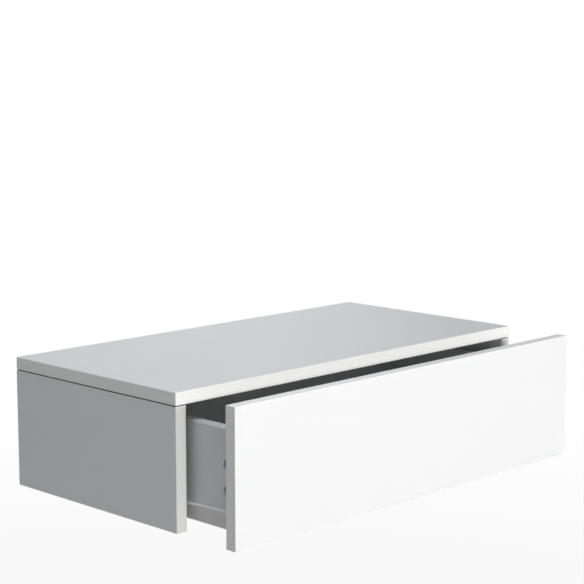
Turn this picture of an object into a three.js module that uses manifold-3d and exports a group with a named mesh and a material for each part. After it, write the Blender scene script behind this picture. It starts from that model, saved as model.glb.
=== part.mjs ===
// Wall-hung nightstand with one drawer on roller runners, in millimetres.
// X runs to the right, Y into the wall and Z up. The origin is the centre of the rear face,
// which lies on the wall. Pieces are written in the cabinet's own frame, where X = 0 is the
// middle, Y = 0 the front edges of the side panels and Z = 0 their lower edges. The drawer's
// frame is the same one, moved out by the opening.
import * as THREE from "three";
import { mergeVertices } from "three/addons/utils/BufferGeometryUtils.js";
import Module from "manifold-3d";

const wasm = await Module();
wasm.setup();

// Cabinet
const cabinetWidth = 640;
const cabinetDepth = 313;
const sideHeight = 155;
const topThickness = 16;
const sideThickness = 16;
const backThickness = 16;
const boardGap = 0.2; // between two boards that are drawn tight
const shadowGap = 1; // height of the dark line under the top's edges
const shadowDepth = 2.5;

// Drawer box and front
const drawerOpening = 85; // how far the drawer stands open at rest
const closedOpening = 2; // what is left of it when the drawer is shut
const frontThickness = 16;
const frontDrop = 1.2; // from the cabinet's top face to the front's upper edge
const runnerSpace = 12.5; // from a side panel to the drawer box
const drawerLift = 12.8; // from the cabinet's lower edge to the drawer sides' lower edges
const drawerTopSpace = 22.4; // from the drawer box up to the top panel
const drawerRearSpace = 9; // from the shut drawer box to the back board
const drawerSideThickness = 16;
const drawerBackThickness = 16;
const bottomThickness = 3;
const bottomHeight = 10; // from the drawer sides' lower edges to the groove
const grooveDepth = 7;

// Runners, of folded sheet
const sheet = 1.2;
const runnerSetback = 12.5;
const runnerRearSpace = 34.5; // from the runners to the back board
const drawerRunnerHeight = 22; // over both flanges, behind the ramp
const rampRise = 2.3; // the flange climbs towards the front, so that the drawer rolls shut
const rampFlat = 18;
const rampEnd = 96;
const flangeReach = 8.2;
const legReach = 13;
const channelHeight = 23;
const trackReach = 10;
const guardReach = 8;
const stopHeight = 2;
const stopThickness = 1.5;
const rollGap = 0.3; // between a roller and what it rolls on

// Rollers and their axles
const rollerRadius = 8;
const rollerWidth = 6.4;
const rollerFace = 0.6; // from a roller to the sheet that carries it
const rollerInset = 6; // from a runner's end to its roller's axis
const frontRollerInset = 9.5;
const rollersApart = 22; // between a front and a rear axle with the drawer fully open
const rollerBevel = 0.6;
const axleRadius = 2;
const axleHeadRadius = 3.2;
const axleHead = 1;
const axleSink = 0.3; // how deep the axle's head lies in the roller
const axleSlip = 0.12;

// Cam fittings
const camRadius = 7.5;
const camDepth = 12.5;
const camCrossWidth = 1.6;
const camCrossLength = 8;
const camCrossDepth = 2.5;
const camThroat = 4.1;
const boltRadius = 3;
const boltThread = 10.5;
const boltNeckRadius = 2.2;
const boltNeck = 5;
const boltHeadRadius = 3.4;
const boltHead = 3;
const boltPastCam = 2.6; // from the cam's axis to the end of the bolt's head
const boltBoreRadius = 4;
const slip = 0.2; // round a piece in its bore or groove

// Places of the cam fittings
const frontCamInset = 26.5;
const frontCamHeight = 45; // the lower one, above the drawer side's lower edge
const frontCamPitch = 32;
const topCamDrop = 34;
const topCamInset = 60;
const backCamInset = 24;
const backCamDrop = 40;

// Dowels
const dowelRadius = 4;
const dowelLength = 30;
const dowelShort = 10; // the part of it in the top or in a side panel's face
const dowelBevel = 1;
const topDowelInset = 110;
const backDowelHeight = 40;

// Screws
const screwRadius = 2;
const screwTip = 3;
const runnerScrewLength = 13;
const runnerScrewHead = 1.6;
const runnerScrewHeadRadius = 3.4;
const runnerScrewInset = 37;
const runnerScrewRearInset = 53;
const boxScrewLength = 40;
const boxScrewHead = 2.6;
const boxScrewHeadRadius = 4;
const boxScrewInset = 28; // from the back board's upper and lower edges

// Holes for the wall screws
const wallHoleRadius = 2.75;
const wallHoleInset = 120; // from the cabinet's outer faces
const wallHoleDrop = 30; // from the back board's upper and lower edges

const overrun = 1; // how far a cutter passes the face that it opens
const roundSides = 16;
const smallSides = 10;

// Places worked out from the sizes
const halfWidth = cabinetWidth / 2;
const sideInner = halfWidth - sideThickness;
const boxOuter = sideInner - runnerSpace;
const boxInner = boxOuter - drawerSideThickness;
const backFace = cabinetDepth - backThickness;
const drawerSideLength = backFace - closedOpening - drawerRearSpace;
const topUnderside = sideHeight + boardGap;
const topFace = topUnderside + topThickness;
const frontTop = topFace - frontDrop;
const drawerTop = topUnderside - drawerTopSpace;
const bottomLow = drawerLift + bottomHeight + slip;
const bottomTop = bottomLow + bottomThickness;
const boxBackFace = drawerSideLength - drawerBackThickness;
const drawerBackLow = bottomTop + boardGap;
const legTop = drawerLift - boardGap;
const legLow = legTop - sheet;
const flangeTop = legLow + drawerRunnerHeight;
const rampTop = flangeTop + rampRise;
const webOuter = boxOuter + boardGap + sheet;
const rollerHeight = flangeTop - sheet - rollGap - rollerRadius;
const trackTop = rollerHeight - rollerRadius - rollGap;
const trackLow = trackTop - sheet;
const channelTop = trackLow + channelHeight;
const channelOuter = sideInner - boardGap;
const channelInner = channelOuter - sheet;
const runnerEnd = backFace - runnerRearSpace;
const runnerLength = runnerEnd - runnerSetback;
const frontRollerPlace = runnerSetback + frontRollerInset;
const rearRollerPlace = runnerLength - rollerInset;
const openRollerPlace = frontRollerPlace + rollersApart;
const originHeight = sideHeight / 2;

const right = new THREE.Vector3(1, 0, 0);
const inwards = new THREE.Vector3(0, 1, 0);
const up = new THREE.Vector3(0, 0, 1);
const at = (x, y, z) => new THREE.Vector3(x, y, z);

const finishes = {
  board: new THREE.MeshStandardMaterial({ color: 0xf2f2f0, roughness: 0.45, metalness: 0 }),
  hardboard: new THREE.MeshStandardMaterial({ color: 0xe9e8e4, roughness: 0.6, metalness: 0 }),
  runner: new THREE.MeshStandardMaterial({ color: 0xe4e4e1, roughness: 0.4, metalness: 0.1 }),
  roller: new THREE.MeshStandardMaterial({ color: 0xdadad6, roughness: 0.5, metalness: 0 }),
  zinc: new THREE.MeshStandardMaterial({ color: 0x9aa1ad, roughness: 0.35, metalness: 1 }),
  steel: new THREE.MeshStandardMaterial({ color: 0xb4b6b8, roughness: 0.3, metalness: 1 }),
  beech: new THREE.MeshStandardMaterial({ color: 0xc9a877, roughness: 0.8, metalness: 0 }),
};

// A closed geometry as a solid that can be joined and cut.
function solidOf(geometry) {
  const bare = new THREE.BufferGeometry();
  bare.setAttribute("position", geometry.getAttribute("position"));
  bare.setIndex(geometry.index);
  const merged = mergeVertices(bare, 1e-4);
  const corners = merged.index.array;
  const kept = [];
  for (let i = 0; i < corners.length; i += 3) {
    const [a, b, c] = corners.slice(i, i + 3);
    if (a !== b && b !== c && c !== a) kept.push(a, b, c);
  }
  return new wasm.Manifold(
    new wasm.Mesh({
      numProp: 3,
      vertProperties: merged.getAttribute("position").array,
      triVerts: new Uint32Array(kept),
    }),
  );
}

function geometryOf(solid) {
  const mesh = solid.getMesh();
  const geometry = new THREE.BufferGeometry();
  geometry.setAttribute("position", new THREE.BufferAttribute(mesh.vertProperties, 3));
  geometry.setIndex(new THREE.BufferAttribute(mesh.triVerts, 1));
  return geometry;
}

function cut(geometry, cutters) {
  const tools = cutters.map(solidOf);
  return geometryOf(tools.reduce((left, tool) => left.subtract(tool), solidOf(geometry)));
}

function join(geometries) {
  const [first, ...others] = geometries.map(solidOf);
  return geometryOf(others.reduce((sum, other) => sum.add(other), first));
}

// A block between two corners, given in any order.
function block(a, b) {
  const low = a.clone().min(b);
  const size = a.clone().max(b).sub(low);
  const middle = low.addScaledVector(size, 1 / 2);
  return new THREE.BoxGeometry(size.x, size.y, size.z).translate(...middle);
}

// A turned piece: pairs of radius and height, from a start point along a direction.
function turned(pairs, start, direction, sides = roundSides) {
  const outline = pairs.map(([radius, height]) => new THREE.Vector2(radius, height));
  const turn = new THREE.Quaternion().setFromUnitVectors(inwards, direction);
  return new THREE.LatheGeometry(outline, sides).applyQuaternion(turn).translate(...start);
}

function rod(radius, length, start, direction, sides = roundSides) {
  const pairs = [[0, 0], [radius, 0], [radius, length], [0, length]];
  return turned(pairs, start, direction, sides);
}

// A flat outline of Y and Z pairs, given a thickness from one X to another.
function plate(pairs, fromX, toX) {
  const shape = new THREE.Shape(pairs.map(([y, z]) => new THREE.Vector2(y, z)));
  const depth = Math.abs(toX - fromX);
  const turn = new THREE.Matrix4().makeBasis(inwards, up, right);
  return new THREE.ExtrudeGeometry(shape, { depth, bevelEnabled: false })
    .applyMatrix4(turn)
    .translate(Math.min(fromX, toX), 0, 0);
}

// The radius of a faceted bore whose flats clear a faceted pin of the given radius.
function boreRadius(pinRadius, clearance, sides = roundSides) {
  return (pinRadius + clearance) / Math.cos(Math.PI / sides);
}

// Puts a piece into its group, with its geometry's origin at the given place.
function place(group, name, finish, geometry, origin) {
  const local = geometry.translate(...origin.clone().negate());
  const mesh = new THREE.Mesh(local, finish);
  mesh.name = name;
  mesh.position.copy(origin);
  group.add(mesh);
  return mesh;
}

// A board between two corners, with its bores and grooves.
function board(group, name, finish, a, b, cutters) {
  const shape = block(a, b);
  const low = a.clone().min(b);
  return place(group, name, finish, cutters.length ? cut(shape, cutters) : shape, low);
}

// A cam fitting. The cam sits in the face of one board and draws the bolt's head towards it.
// face: the cam's place on that face; inside: the way into the board; towards: the way from the
// cam to the other board, whose face lies at the given reach.
function camFitting({ face, inside, towards, reach, depth }) {
  const axis = face.clone().addScaledVector(inside, depth);
  const mouth = axis.clone().addScaledVector(towards, reach);
  const back = towards.clone().negate();
  const sunk = face.clone().addScaledVector(inside, slip);
  const across = new THREE.Vector3().crossVectors(inside, towards);
  const bar = (long, wide) =>
    block(
      face.clone().addScaledVector(long, -camCrossLength / 2).addScaledVector(wide, -camCrossWidth / 2),
      face
        .clone()
        .addScaledVector(long, camCrossLength / 2)
        .addScaledVector(wide, camCrossWidth / 2)
        .addScaledVector(inside, camCrossDepth),
    );
  const throatStart = axis.clone().addScaledVector(back, boltPastCam + slip);
  const throat = rod(camThroat, camRadius + boltPastCam + overrun, throatStart, towards, smallSides);
  const cam = cut(rod(camRadius - slip, camDepth - slip, sunk, inside), [
    throat,
    bar(towards, across),
    bar(across, towards),
  ]);
  const headEnd = reach + boltPastCam;
  const neckEnd = headEnd - boltHead;
  const neckStart = neckEnd - boltNeck;
  const bolt = turned(
    [
      [0, -boltThread],
      [boltRadius, -boltThread],
      [boltRadius, neckStart],
      [boltNeckRadius, neckStart],
      [boltNeckRadius, neckEnd],
      [boltHeadRadius, neckEnd],
      [boltHeadRadius, headEnd],
      [0, headEnd],
    ],
    mouth,
    back,
    smallSides,
  );
  const pocketStart = face.clone().addScaledVector(inside, -overrun);
  const boreStart = mouth.clone().addScaledVector(towards, overrun);
  const pilotStart = mouth.clone().addScaledVector(back, overrun);
  const pilotRadius = boreRadius(boltRadius, slip, smallSides);
  return {
    cam,
    bolt,
    camPlace: face,
    boltPlace: mouth,
    pocket: [
      rod(boreRadius(camRadius - slip, slip), camDepth + slip + overrun, pocketStart, inside),
      rod(boltBoreRadius, reach + overrun, boreStart, back, smallSides),
    ],
    pilot: [rod(pilotRadius, boltThread + slip + overrun, pilotStart, towards, smallSides)],
  };
}

// A dowel across a joint: its short part goes towards the one board, the rest into the other.
function dowelFitting(joint, towards) {
  const start = joint.clone().addScaledVector(towards, dowelShort - dowelLength);
  const tip = dowelRadius - dowelBevel;
  const pin = turned(
    [
      [0, 0],
      [tip, 0],
      [dowelRadius, dowelBevel],
      [dowelRadius, dowelLength - dowelBevel],
      [tip, dowelLength],
      [0, dowelLength],
    ],
    start,
    towards,
    smallSides,
  );
  const boreStart = start.clone().addScaledVector(towards, -slip);
  const bore = rod(
    boreRadius(dowelRadius, slip, smallSides),
    dowelLength + slip + slip,
    boreStart,
    towards,
    smallSides,
  );
  return { pin, bore, start };
}

// The half outline of a screw, from its tip at height 0 to the top of its head.
function screwOutline(length, headRadius, head, flat, extra) {
  const radius = screwRadius + extra;
  const headWide = headRadius + extra;
  const crown = length + extra;
  const collar = flat ? [[radius, length - extra], [headWide, length - extra]] : [[radius, length - head]];
  const crownTop = flat ? crown + head : crown;
  return [[0, -extra], [radius, screwTip], ...collar, [headWide, crownTop], [0, crownTop]];
}

// A pan-head screw through sheet: seat is the point under its head, and it goes in along inside.
function panScrew(seat, inside) {
  const tip = seat.clone().addScaledVector(inside, runnerScrewLength);
  const back = inside.clone().negate();
  const shape = (extra) =>
    turned(
      screwOutline(runnerScrewLength, runnerScrewHeadRadius, runnerScrewHead, true, extra),
      tip,
      back,
      smallSides,
    );
  const boreStart = tip.clone().addScaledVector(inside, slip);
  const bore = rod(
    boreRadius(screwRadius, slip, smallSides),
    runnerScrewLength + slip,
    boreStart,
    back,
    smallSides,
  );
  return { screw: shape(0), bore, seat };
}

// A countersunk screw whose head lies flush with a board's face.
function sunkScrew(faceCentre, inside) {
  const tip = faceCentre.clone().addScaledVector(inside, boxScrewLength + slip);
  const back = inside.clone().negate();
  const shape = (extra) =>
    turned(
      screwOutline(boxScrewLength, boxScrewHeadRadius, boxScrewHead, false, extra),
      tip,
      back,
      smallSides,
    );
  const mouthRadius = boreRadius(boxScrewHeadRadius, slip, smallSides);
  const mouth = rod(mouthRadius, overrun + slip, faceCentre.clone().addScaledVector(inside, slip), back, smallSides);
  return { screw: shape(0), bore: join([shape(slip), mouth]), seat: faceCentre };
}

// A free roller with its bevelled tread, bore and recess for the axle's head. It starts at the
// sheet's side and runs along the axis.
function roller(start, axis) {
  const bore = boreRadius(axleRadius, axleSlip);
  const recess = boreRadius(axleHeadRadius, axleSlip + slip);
  const recessStart = rollerWidth - axleHead - axleSink - slip;
  const tread = rollerRadius - rollerBevel;
  return turned(
    [
      [bore, 0],
      [tread, 0],
      [rollerRadius, rollerBevel],
      [rollerRadius, rollerWidth - rollerBevel],
      [tread, rollerWidth],
      [recess, rollerWidth],
      [recess, recessStart],
      [bore, recessStart],
      [bore, 0],
    ],
    start,
    axis,
    roundSides,
  );
}

// The riveted axle of a roller, from the sheet's far face to its head.
function axle(start, axis) {
  const shank = sheet + rollerFace + rollerWidth - axleHead - axleSink;
  return turned(
    [
      [0, 0],
      [axleRadius, 0],
      [axleRadius, shank],
      [axleHeadRadius, shank],
      [axleHeadRadius, shank + axleHead],
      [0, shank + axleHead],
    ],
    start,
    axis,
  );
}

const nightstand = new THREE.Group();
const cabinet = new THREE.Group();
cabinet.position.set(0, -cabinetDepth, -originHeight);
const drawer = new THREE.Group();
drawer.position.set(0, -drawerOpening, 0);
cabinet.add(drawer);
nightstand.add(cabinet);

const sides = [
  { side: "left", s: -1 },
  { side: "right", s: 1 },
];

// The cabinet's fittings, with the bores that they need in each board.
const topCutters = [];
const backCutters = [];
function cabinetSide({ side, s }) {
  const out = right.clone().multiplyScalar(s);
  const panelCutters = [];
  const middle = s * (halfWidth - sideThickness / 2);

  const topCams = [
    ["front", topCamInset],
    ["rear", cabinetDepth - topCamInset],
  ];
  for (const [end, y] of topCams) {
    const fitting = camFitting({
      face: at(s * sideInner, y, sideHeight - topCamDrop),
      inside: out,
      towards: up,
      reach: topCamDrop + boardGap,
      depth: sideThickness / 2,
    });
    place(cabinet, `top_cam_${side}_${end}`, finishes.zinc, fitting.cam, fitting.camPlace);
    place(cabinet, `top_cam_bolt_${side}_${end}`, finishes.steel, fitting.bolt, fitting.boltPlace);
    panelCutters.push(...fitting.pocket);
    topCutters.push(...fitting.pilot);
  }

  const topDowels = [
    ["front", topDowelInset],
    ["rear", cabinetDepth - topDowelInset],
  ];
  for (const [end, y] of topDowels) {
    const dowel = dowelFitting(at(middle, y, topUnderside), up);
    place(cabinet, `top_dowel_${side}_${end}`, finishes.beech, dowel.pin, dowel.start);
    panelCutters.push(dowel.bore);
    topCutters.push(dowel.bore);
  }

  const backMiddle = cabinetDepth - backThickness / 2;
  const backEnd = sideInner - boardGap;
  const backCam = camFitting({
    face: at(s * (backEnd - backCamInset), backFace, sideHeight - backCamDrop),
    inside: inwards,
    towards: out,
    reach: backCamInset + boardGap,
    depth: backThickness / 2,
  });
  place(cabinet, `back_cam_${side}`, finishes.zinc, backCam.cam, backCam.camPlace);
  place(cabinet, `back_cam_bolt_${side}`, finishes.steel, backCam.bolt, backCam.boltPlace);
  backCutters.push(...backCam.pocket);
  panelCutters.push(...backCam.pilot);

  const backDowel = dowelFitting(at(s * sideInner, backMiddle, backDowelHeight), out);
  place(cabinet, `back_dowel_${side}`, finishes.beech, backDowel.pin, backDowel.start);
  backCutters.push(backDowel.bore);
  panelCutters.push(backDowel.bore);

  panelCutters.push(...cabinetRunner({ side, s }));
  panelCutters.push(
    block(
      at(s * (halfWidth - shadowDepth), -overrun, sideHeight - shadowGap),
      at(s * (halfWidth + overrun), cabinetDepth + overrun, sideHeight + overrun),
    ),
    block(
      at(s * (sideInner - overrun), -overrun, sideHeight - shadowGap),
      at(s * (halfWidth + overrun), shadowDepth, sideHeight + overrun),
    ),
  );
  board(
    cabinet,
    `${side}_side_panel`,
    finishes.board,
    at(s * sideInner, 0, 0),
    at(s * halfWidth, cabinetDepth, sideHeight),
    panelCutters,
  );
}

// The runner member on a side panel: a channel with its track below, a guard above, and stops
// for the drawer's roller at both ends of its travel. Its own roller carries the drawer's flange.
function cabinetRunner({ side, s }) {
  const out = right.clone().multiplyScalar(s);
  const back = out.clone().negate();
  const run = (fromX, toX, lowZ, highZ) =>
    block(at(s * fromX, runnerSetback, lowZ), at(s * toX, runnerEnd, highZ));
  const rollerReach = Math.sqrt(rollerRadius ** 2 - (rollerRadius - stopHeight + rollGap) ** 2);
  const openStop = openRollerPlace - rollerReach - rollGap;
  const shutStop = rearRollerPlace - closedOpening + rollerRadius + rollGap;
  const innerEdge = channelOuter - trackReach;
  const stops = [
    block(
      at(s * innerEdge, openStop - stopThickness, trackLow),
      at(s * channelOuter, openStop, trackTop + stopHeight),
    ),
    block(
      at(s * innerEdge, shutStop, trackLow),
      at(s * channelOuter, shutStop + stopThickness, rollerHeight),
    ),
  ];
  const profile = join([
    run(channelInner, channelOuter, trackLow, channelTop),
    run(innerEdge, channelOuter, trackLow, trackTop),
    run(channelOuter - guardReach, channelOuter, channelTop - sheet, channelTop),
    ...stops,
  ]);

  const bores = [];
  const sheetBores = [];
  const screwPlaces = [
    ["front", runnerSetback + runnerScrewInset],
    ["rear", runnerEnd - runnerScrewRearInset],
  ];
  for (const [end, y] of screwPlaces) {
    const screw = panScrew(at(s * (channelInner - slip), y, rollerHeight), out);
    place(cabinet, `cabinet_runner_screw_${side}_${end}`, finishes.steel, screw.screw, screw.seat);
    bores.push(screw.bore);
    sheetBores.push(screw.bore);
  }

  const axleStart = at(s * channelOuter, frontRollerPlace, rollerHeight);
  const rollerStart = at(s * (channelInner - rollerFace), frontRollerPlace, rollerHeight);
  place(cabinet, `front_axle_${side}`, finishes.steel, axle(axleStart, back), axleStart);
  place(cabinet, `front_roller_${side}`, finishes.roller, roller(rollerStart, back), rollerStart);
  sheetBores.push(
    rod(
      boreRadius(axleRadius, axleSlip),
      sheet + overrun + overrun,
      axleStart.clone().addScaledVector(out, overrun),
      back,
    ),
  );
  const origin = at(s * channelOuter, runnerSetback, trackLow);
  place(cabinet, `cabinet_runner_${side}`, finishes.runner, cut(profile, sheetBores), origin);
  return bores;
}

sides.forEach(cabinetSide);

board(
  cabinet,
  "top_panel",
  finishes.board,
  at(-halfWidth, 0, topUnderside),
  at(halfWidth, cabinetDepth, topFace),
  topCutters,
);

for (const { s } of sides) {
  for (const z of [wallHoleDrop, sideHeight - wallHoleDrop]) {
    const start = at(s * (halfWidth - wallHoleInset), backFace - overrun, z);
    backCutters.push(rod(wallHoleRadius, backThickness + overrun + overrun, start, inwards, roundSides));
  }
}
board(
  cabinet,
  "back_panel",
  finishes.board,
  at(-sideInner + boardGap, backFace, 0),
  at(sideInner - boardGap, cabinetDepth, sideHeight),
  backCutters,
);

// The drawer: its front covers the cabinet's whole face. The box hangs behind it on cams.
const frontCutters = [];
const drawerBackCutters = [];
const grooveLow = bottomLow - slip;
const grooveTop = bottomTop + slip;

function drawerSide({ side, s }) {
  const out = right.clone().multiplyScalar(s);
  const back = out.clone().negate();
  const cutters = [];

  const frontCams = [
    ["lower", frontCamHeight],
    ["upper", frontCamHeight + frontCamPitch],
  ];
  for (const [level, height] of frontCams) {
    const fitting = camFitting({
      face: at(s * boxOuter, frontCamInset, drawerLift + height),
      inside: back,
      towards: inwards.clone().negate(),
      reach: frontCamInset,
      depth: drawerSideThickness / 2,
    });
    place(drawer, `front_cam_${side}_${level}`, finishes.zinc, fitting.cam, fitting.camPlace);
    place(drawer, `front_cam_bolt_${side}_${level}`, finishes.steel, fitting.bolt, fitting.boltPlace);
    cutters.push(...fitting.pocket);
    frontCutters.push(...fitting.pilot);
  }

  const boxScrews = [
    ["lower", drawerBackLow + boxScrewInset],
    ["upper", drawerTop - boxScrewInset],
  ];
  for (const [level, z] of boxScrews) {
    const screw = sunkScrew(at(s * boxOuter, boxBackFace + drawerBackThickness / 2, z), back);
    place(drawer, `drawer_back_screw_${side}_${level}`, finishes.steel, screw.screw, screw.seat);
    cutters.push(screw.bore);
    drawerBackCutters.push(screw.bore);
  }

  cutters.push(...drawerRunner({ side, s }));
  cutters.push(
    block(
      at(s * (boxInner - overrun), -overrun, grooveLow),
      at(s * (boxInner + grooveDepth), drawerSideLength + overrun, grooveTop),
    ),
  );
  board(
    drawer,
    `drawer_${side}_side`,
    finishes.board,
    at(s * boxInner, boardGap, drawerLift),
    at(s * boxOuter, drawerSideLength, drawerTop),
    cutters,
  );
}

// The runner member on a drawer side: a leg under the board, a web beside it and a flange that
// reaches out over the cabinet's roller. Its own roller runs in the cabinet's channel.
function drawerRunner({ side, s }) {
  const out = right.clone().multiplyScalar(s);
  const webInner = webOuter - sheet;
  const web = [
    [boardGap, legLow],
    [runnerLength, legLow],
    [runnerLength, flangeTop],
    [rampEnd, flangeTop],
    [rampFlat, rampTop],
    [boardGap, rampTop],
  ];
  const flange = [
    [boardGap, rampTop - sheet],
    [rampFlat, rampTop - sheet],
    [rampEnd, flangeTop - sheet],
    [runnerLength, flangeTop - sheet],
    [runnerLength, flangeTop],
    [rampEnd, flangeTop],
    [rampFlat, rampTop],
    [boardGap, rampTop],
  ];
  const profile = join([
    plate(web, s * webInner, s * webOuter),
    plate(flange, s * webInner, s * (webInner + flangeReach)),
    block(at(s * (webOuter - legReach), boardGap, legLow), at(s * webOuter, runnerLength, legTop)),
  ]);

  const bores = [];
  const sheetBores = [];
  const screwPlaces = [
    ["front", runnerScrewInset],
    ["rear", runnerLength - runnerScrewRearInset],
  ];
  for (const [end, y] of screwPlaces) {
    const screw = panScrew(at(s * (boxOuter - drawerSideThickness / 2), y, legLow - slip), up);
    place(drawer, `drawer_runner_screw_${side}_${end}`, finishes.steel, screw.screw, screw.seat);
    bores.push(screw.bore);
    sheetBores.push(screw.bore);
  }

  const axleStart = at(s * webInner, rearRollerPlace, rollerHeight);
  const rollerStart = at(s * (webOuter + rollerFace), rearRollerPlace, rollerHeight);
  place(drawer, `rear_axle_${side}`, finishes.steel, axle(axleStart, out), axleStart);
  place(drawer, `rear_roller_${side}`, finishes.roller, roller(rollerStart, out), rollerStart);
  sheetBores.push(
    rod(
      boreRadius(axleRadius, axleSlip),
      sheet + overrun + overrun,
      axleStart.clone().addScaledVector(out, -overrun),
      out,
    ),
  );
  const origin = at(s * webOuter, 0, legLow);
  place(drawer, `drawer_runner_${side}`, finishes.runner, cut(profile, sheetBores), origin);
  return bores;
}

sides.forEach(drawerSide);

frontCutters.push(
  block(
    at(-boxInner - grooveDepth, -grooveDepth, grooveLow),
    at(boxInner + grooveDepth, overrun, grooveTop),
  ),
);
board(
  drawer,
  "drawer_front",
  finishes.board,
  at(-halfWidth, -frontThickness, 0),
  at(halfWidth, 0, frontTop),
  frontCutters,
);
board(
  drawer,
  "drawer_back",
  finishes.board,
  at(-boxInner + boardGap, boxBackFace, drawerBackLow),
  at(boxInner - boardGap, drawerSideLength, drawerTop),
  drawerBackCutters,
);
board(
  drawer,
  "drawer_bottom",
  finishes.hardboard,
  at(-boxInner - grooveDepth + slip, -grooveDepth + slip, bottomLow),
  at(boxInner + grooveDepth - slip, drawerSideLength, bottomTop),
  [],
);

export default nightstand;
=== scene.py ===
"""Looks of a wall-hung nightstand with one drawer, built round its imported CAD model.

Sizes in the classes are in millimetres and become metres where a mesh is made.
Every piece lies where its CAD node lies, in the model's own frame: X to the right,
Y into the wall, Z up, with the front towards -Y.
"""

import logging
import math
from collections.abc import Callable, Iterator, Mapping, Sequence
from contextlib import contextmanager
from dataclasses import dataclass
from enum import Enum

import bmesh
import bpy
from mathutils import Matrix, Vector


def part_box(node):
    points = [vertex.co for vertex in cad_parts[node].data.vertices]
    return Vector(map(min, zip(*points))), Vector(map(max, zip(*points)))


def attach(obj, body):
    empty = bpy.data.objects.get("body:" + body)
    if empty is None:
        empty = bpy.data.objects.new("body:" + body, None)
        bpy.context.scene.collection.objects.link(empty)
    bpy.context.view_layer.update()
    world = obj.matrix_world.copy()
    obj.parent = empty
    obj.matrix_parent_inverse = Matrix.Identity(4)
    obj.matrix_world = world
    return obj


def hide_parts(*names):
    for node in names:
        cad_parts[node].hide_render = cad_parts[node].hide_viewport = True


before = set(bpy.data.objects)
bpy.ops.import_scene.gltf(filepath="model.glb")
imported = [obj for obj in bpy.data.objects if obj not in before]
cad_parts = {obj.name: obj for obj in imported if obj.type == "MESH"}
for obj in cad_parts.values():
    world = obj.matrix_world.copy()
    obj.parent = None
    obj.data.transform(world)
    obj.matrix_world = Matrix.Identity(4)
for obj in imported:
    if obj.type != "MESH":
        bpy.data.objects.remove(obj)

MM = 0.001
SLIP = 0.2  # round a fitting in its bore
OVERRUN = 1.0  # how far a cutter passes the face that it opens
TOUCH = 0.02  # two places nearer than this are the same place
WELD = 0.001  # points nearer than this become one point
ROUND = 48  # how many sides a rod has
ALIGNED = 0.9  # the least cosine between directions that count as one
SMOOTH_BELOW = math.radians(33)  # faces that meet at less than this shade as one
ENDS = ("front", "rear")
LEVELS = ("lower", "upper")

log = logging.getLogger("nightstand")

Triple = tuple[float, float, float]
Pair = tuple[float, float]
Pairs = tuple[Pair, ...]
Shades = tuple[Triple, Triple]
Stops = Sequence[tuple[float, Triple]]
Test = Callable[[Vector, Vector], bool]


class Way(Enum):
    """The six directions that a face can look in."""

    LEFT = (-1.0, 0.0, 0.0)
    RIGHT = (1.0, 0.0, 0.0)
    FRONT = (0.0, -1.0, 0.0)
    REAR = (0.0, 1.0, 0.0)
    DOWN = (0.0, 0.0, -1.0)
    UP = (0.0, 0.0, 1.0)

    @property
    def vector(self) -> Vector:
        """The direction as a unit vector."""
        return Vector(self.value)

    @property
    def axis(self) -> int:
        """The number of the axis that the direction lies along."""
        return next(i for i, part in enumerate(self.value) if part)

    @property
    def opposite(self) -> "Way":
        """The direction that looks the other way."""
        return Way(tuple(-part + 0.0 for part in self.value))

    def faced_by(self, normal: Vector) -> bool:
        """Whether a face with this normal looks this way."""
        return normal.dot(self.vector) > ALIGNED


class Side(Enum):
    """The two sides that most fittings repeat on."""

    LEFT = "left"
    RIGHT = "right"

    @property
    def out(self) -> Way:
        """The way from the middle of the cabinet to this side."""
        return Way.LEFT if self is Side.LEFT else Way.RIGHT

    def places(self, parts: Sequence[str]) -> list[str]:
        """The ends of the names of fittings that are at these places on this side."""
        return [f"{self.value}_{part}" for part in parts]


class Mode(Enum):
    """What a selection in edit mode is made of."""

    POINTS = "VERT"
    EDGES = "EDGE"
    FACES = "FACE"


@dataclass(frozen=True)
class Box:
    """A box in the model's frame, in metres."""

    low: Vector
    high: Vector

    @classmethod
    def of(cls, node: str) -> "Box":
        """The box of a CAD node."""
        return cls(*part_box(node))

    @property
    def middle(self) -> Vector:
        """The centre of the box."""
        return (self.low + self.high) / 2

    @property
    def size(self) -> Vector:
        """The three lengths of the box."""
        return self.high - self.low

    def long_axis(self) -> int:
        """The number of the axis that the box is longest along."""
        return max(range(3), key=lambda i: self.size[i])

    def short_axis(self) -> int:
        """The number of the axis that the box is shortest along."""
        return min(range(3), key=lambda i: self.size[i])

    def plane(self, way: Way) -> float:
        """The place of the face that looks the given way, along its axis."""
        corner = self.high if sum(way.value) > 0 else self.low
        return corner[way.axis]

    def face(self, way: Way) -> Vector:
        """The centre of the face that looks the given way.

        Args:
            way: The way that the face looks.

        Returns:
            The centre.
        """
        centre = self.middle
        centre[way.axis] = self.plane(way)
        return centre

    def pushed(self, way: Way, distance: float) -> "Box":
        """The box with one face moved outwards, or inwards if the distance is negative.

        Args:
            way: The face that moves.
            distance: How far, in millimetres.

        Returns:
            The changed box.
        """
        low, high = self.low.copy(), self.high.copy()
        corner = high if sum(way.value) > 0 else low
        corner[way.axis] += sum(way.value) * distance * MM
        return Box(low, high)

    def slab(self, way: Way, thickness: float) -> "Box":
        """The layer behind one face, with a thickness in millimetres."""
        return self.pushed(way.opposite, thickness - self.size[way.axis] / MM)

    def grown(self, distance: float) -> "Box":
        """The box with all faces moved outwards by a distance in millimetres."""
        grow = Vector((1, 1, 1)) * distance * MM
        return Box(self.low - grow, self.high + grow)

    def holds(self, place: Vector) -> bool:
        """Whether a place lies in the box."""
        return all(low < p < high for low, high, p in zip(self.low, self.high, place, strict=True))

    def outer_planes(self, place: Vector) -> int:
        """How many pairs of this box's faces a place lies on."""
        pairs = zip(self.low, self.high, place, strict=True)
        return sum(min(abs(p - low), abs(p - high)) < TOUCH * MM for low, high, p in pairs)


def anywhere(place: Vector, direction: Vector) -> bool:
    """The test that everything passes."""
    return True


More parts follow.
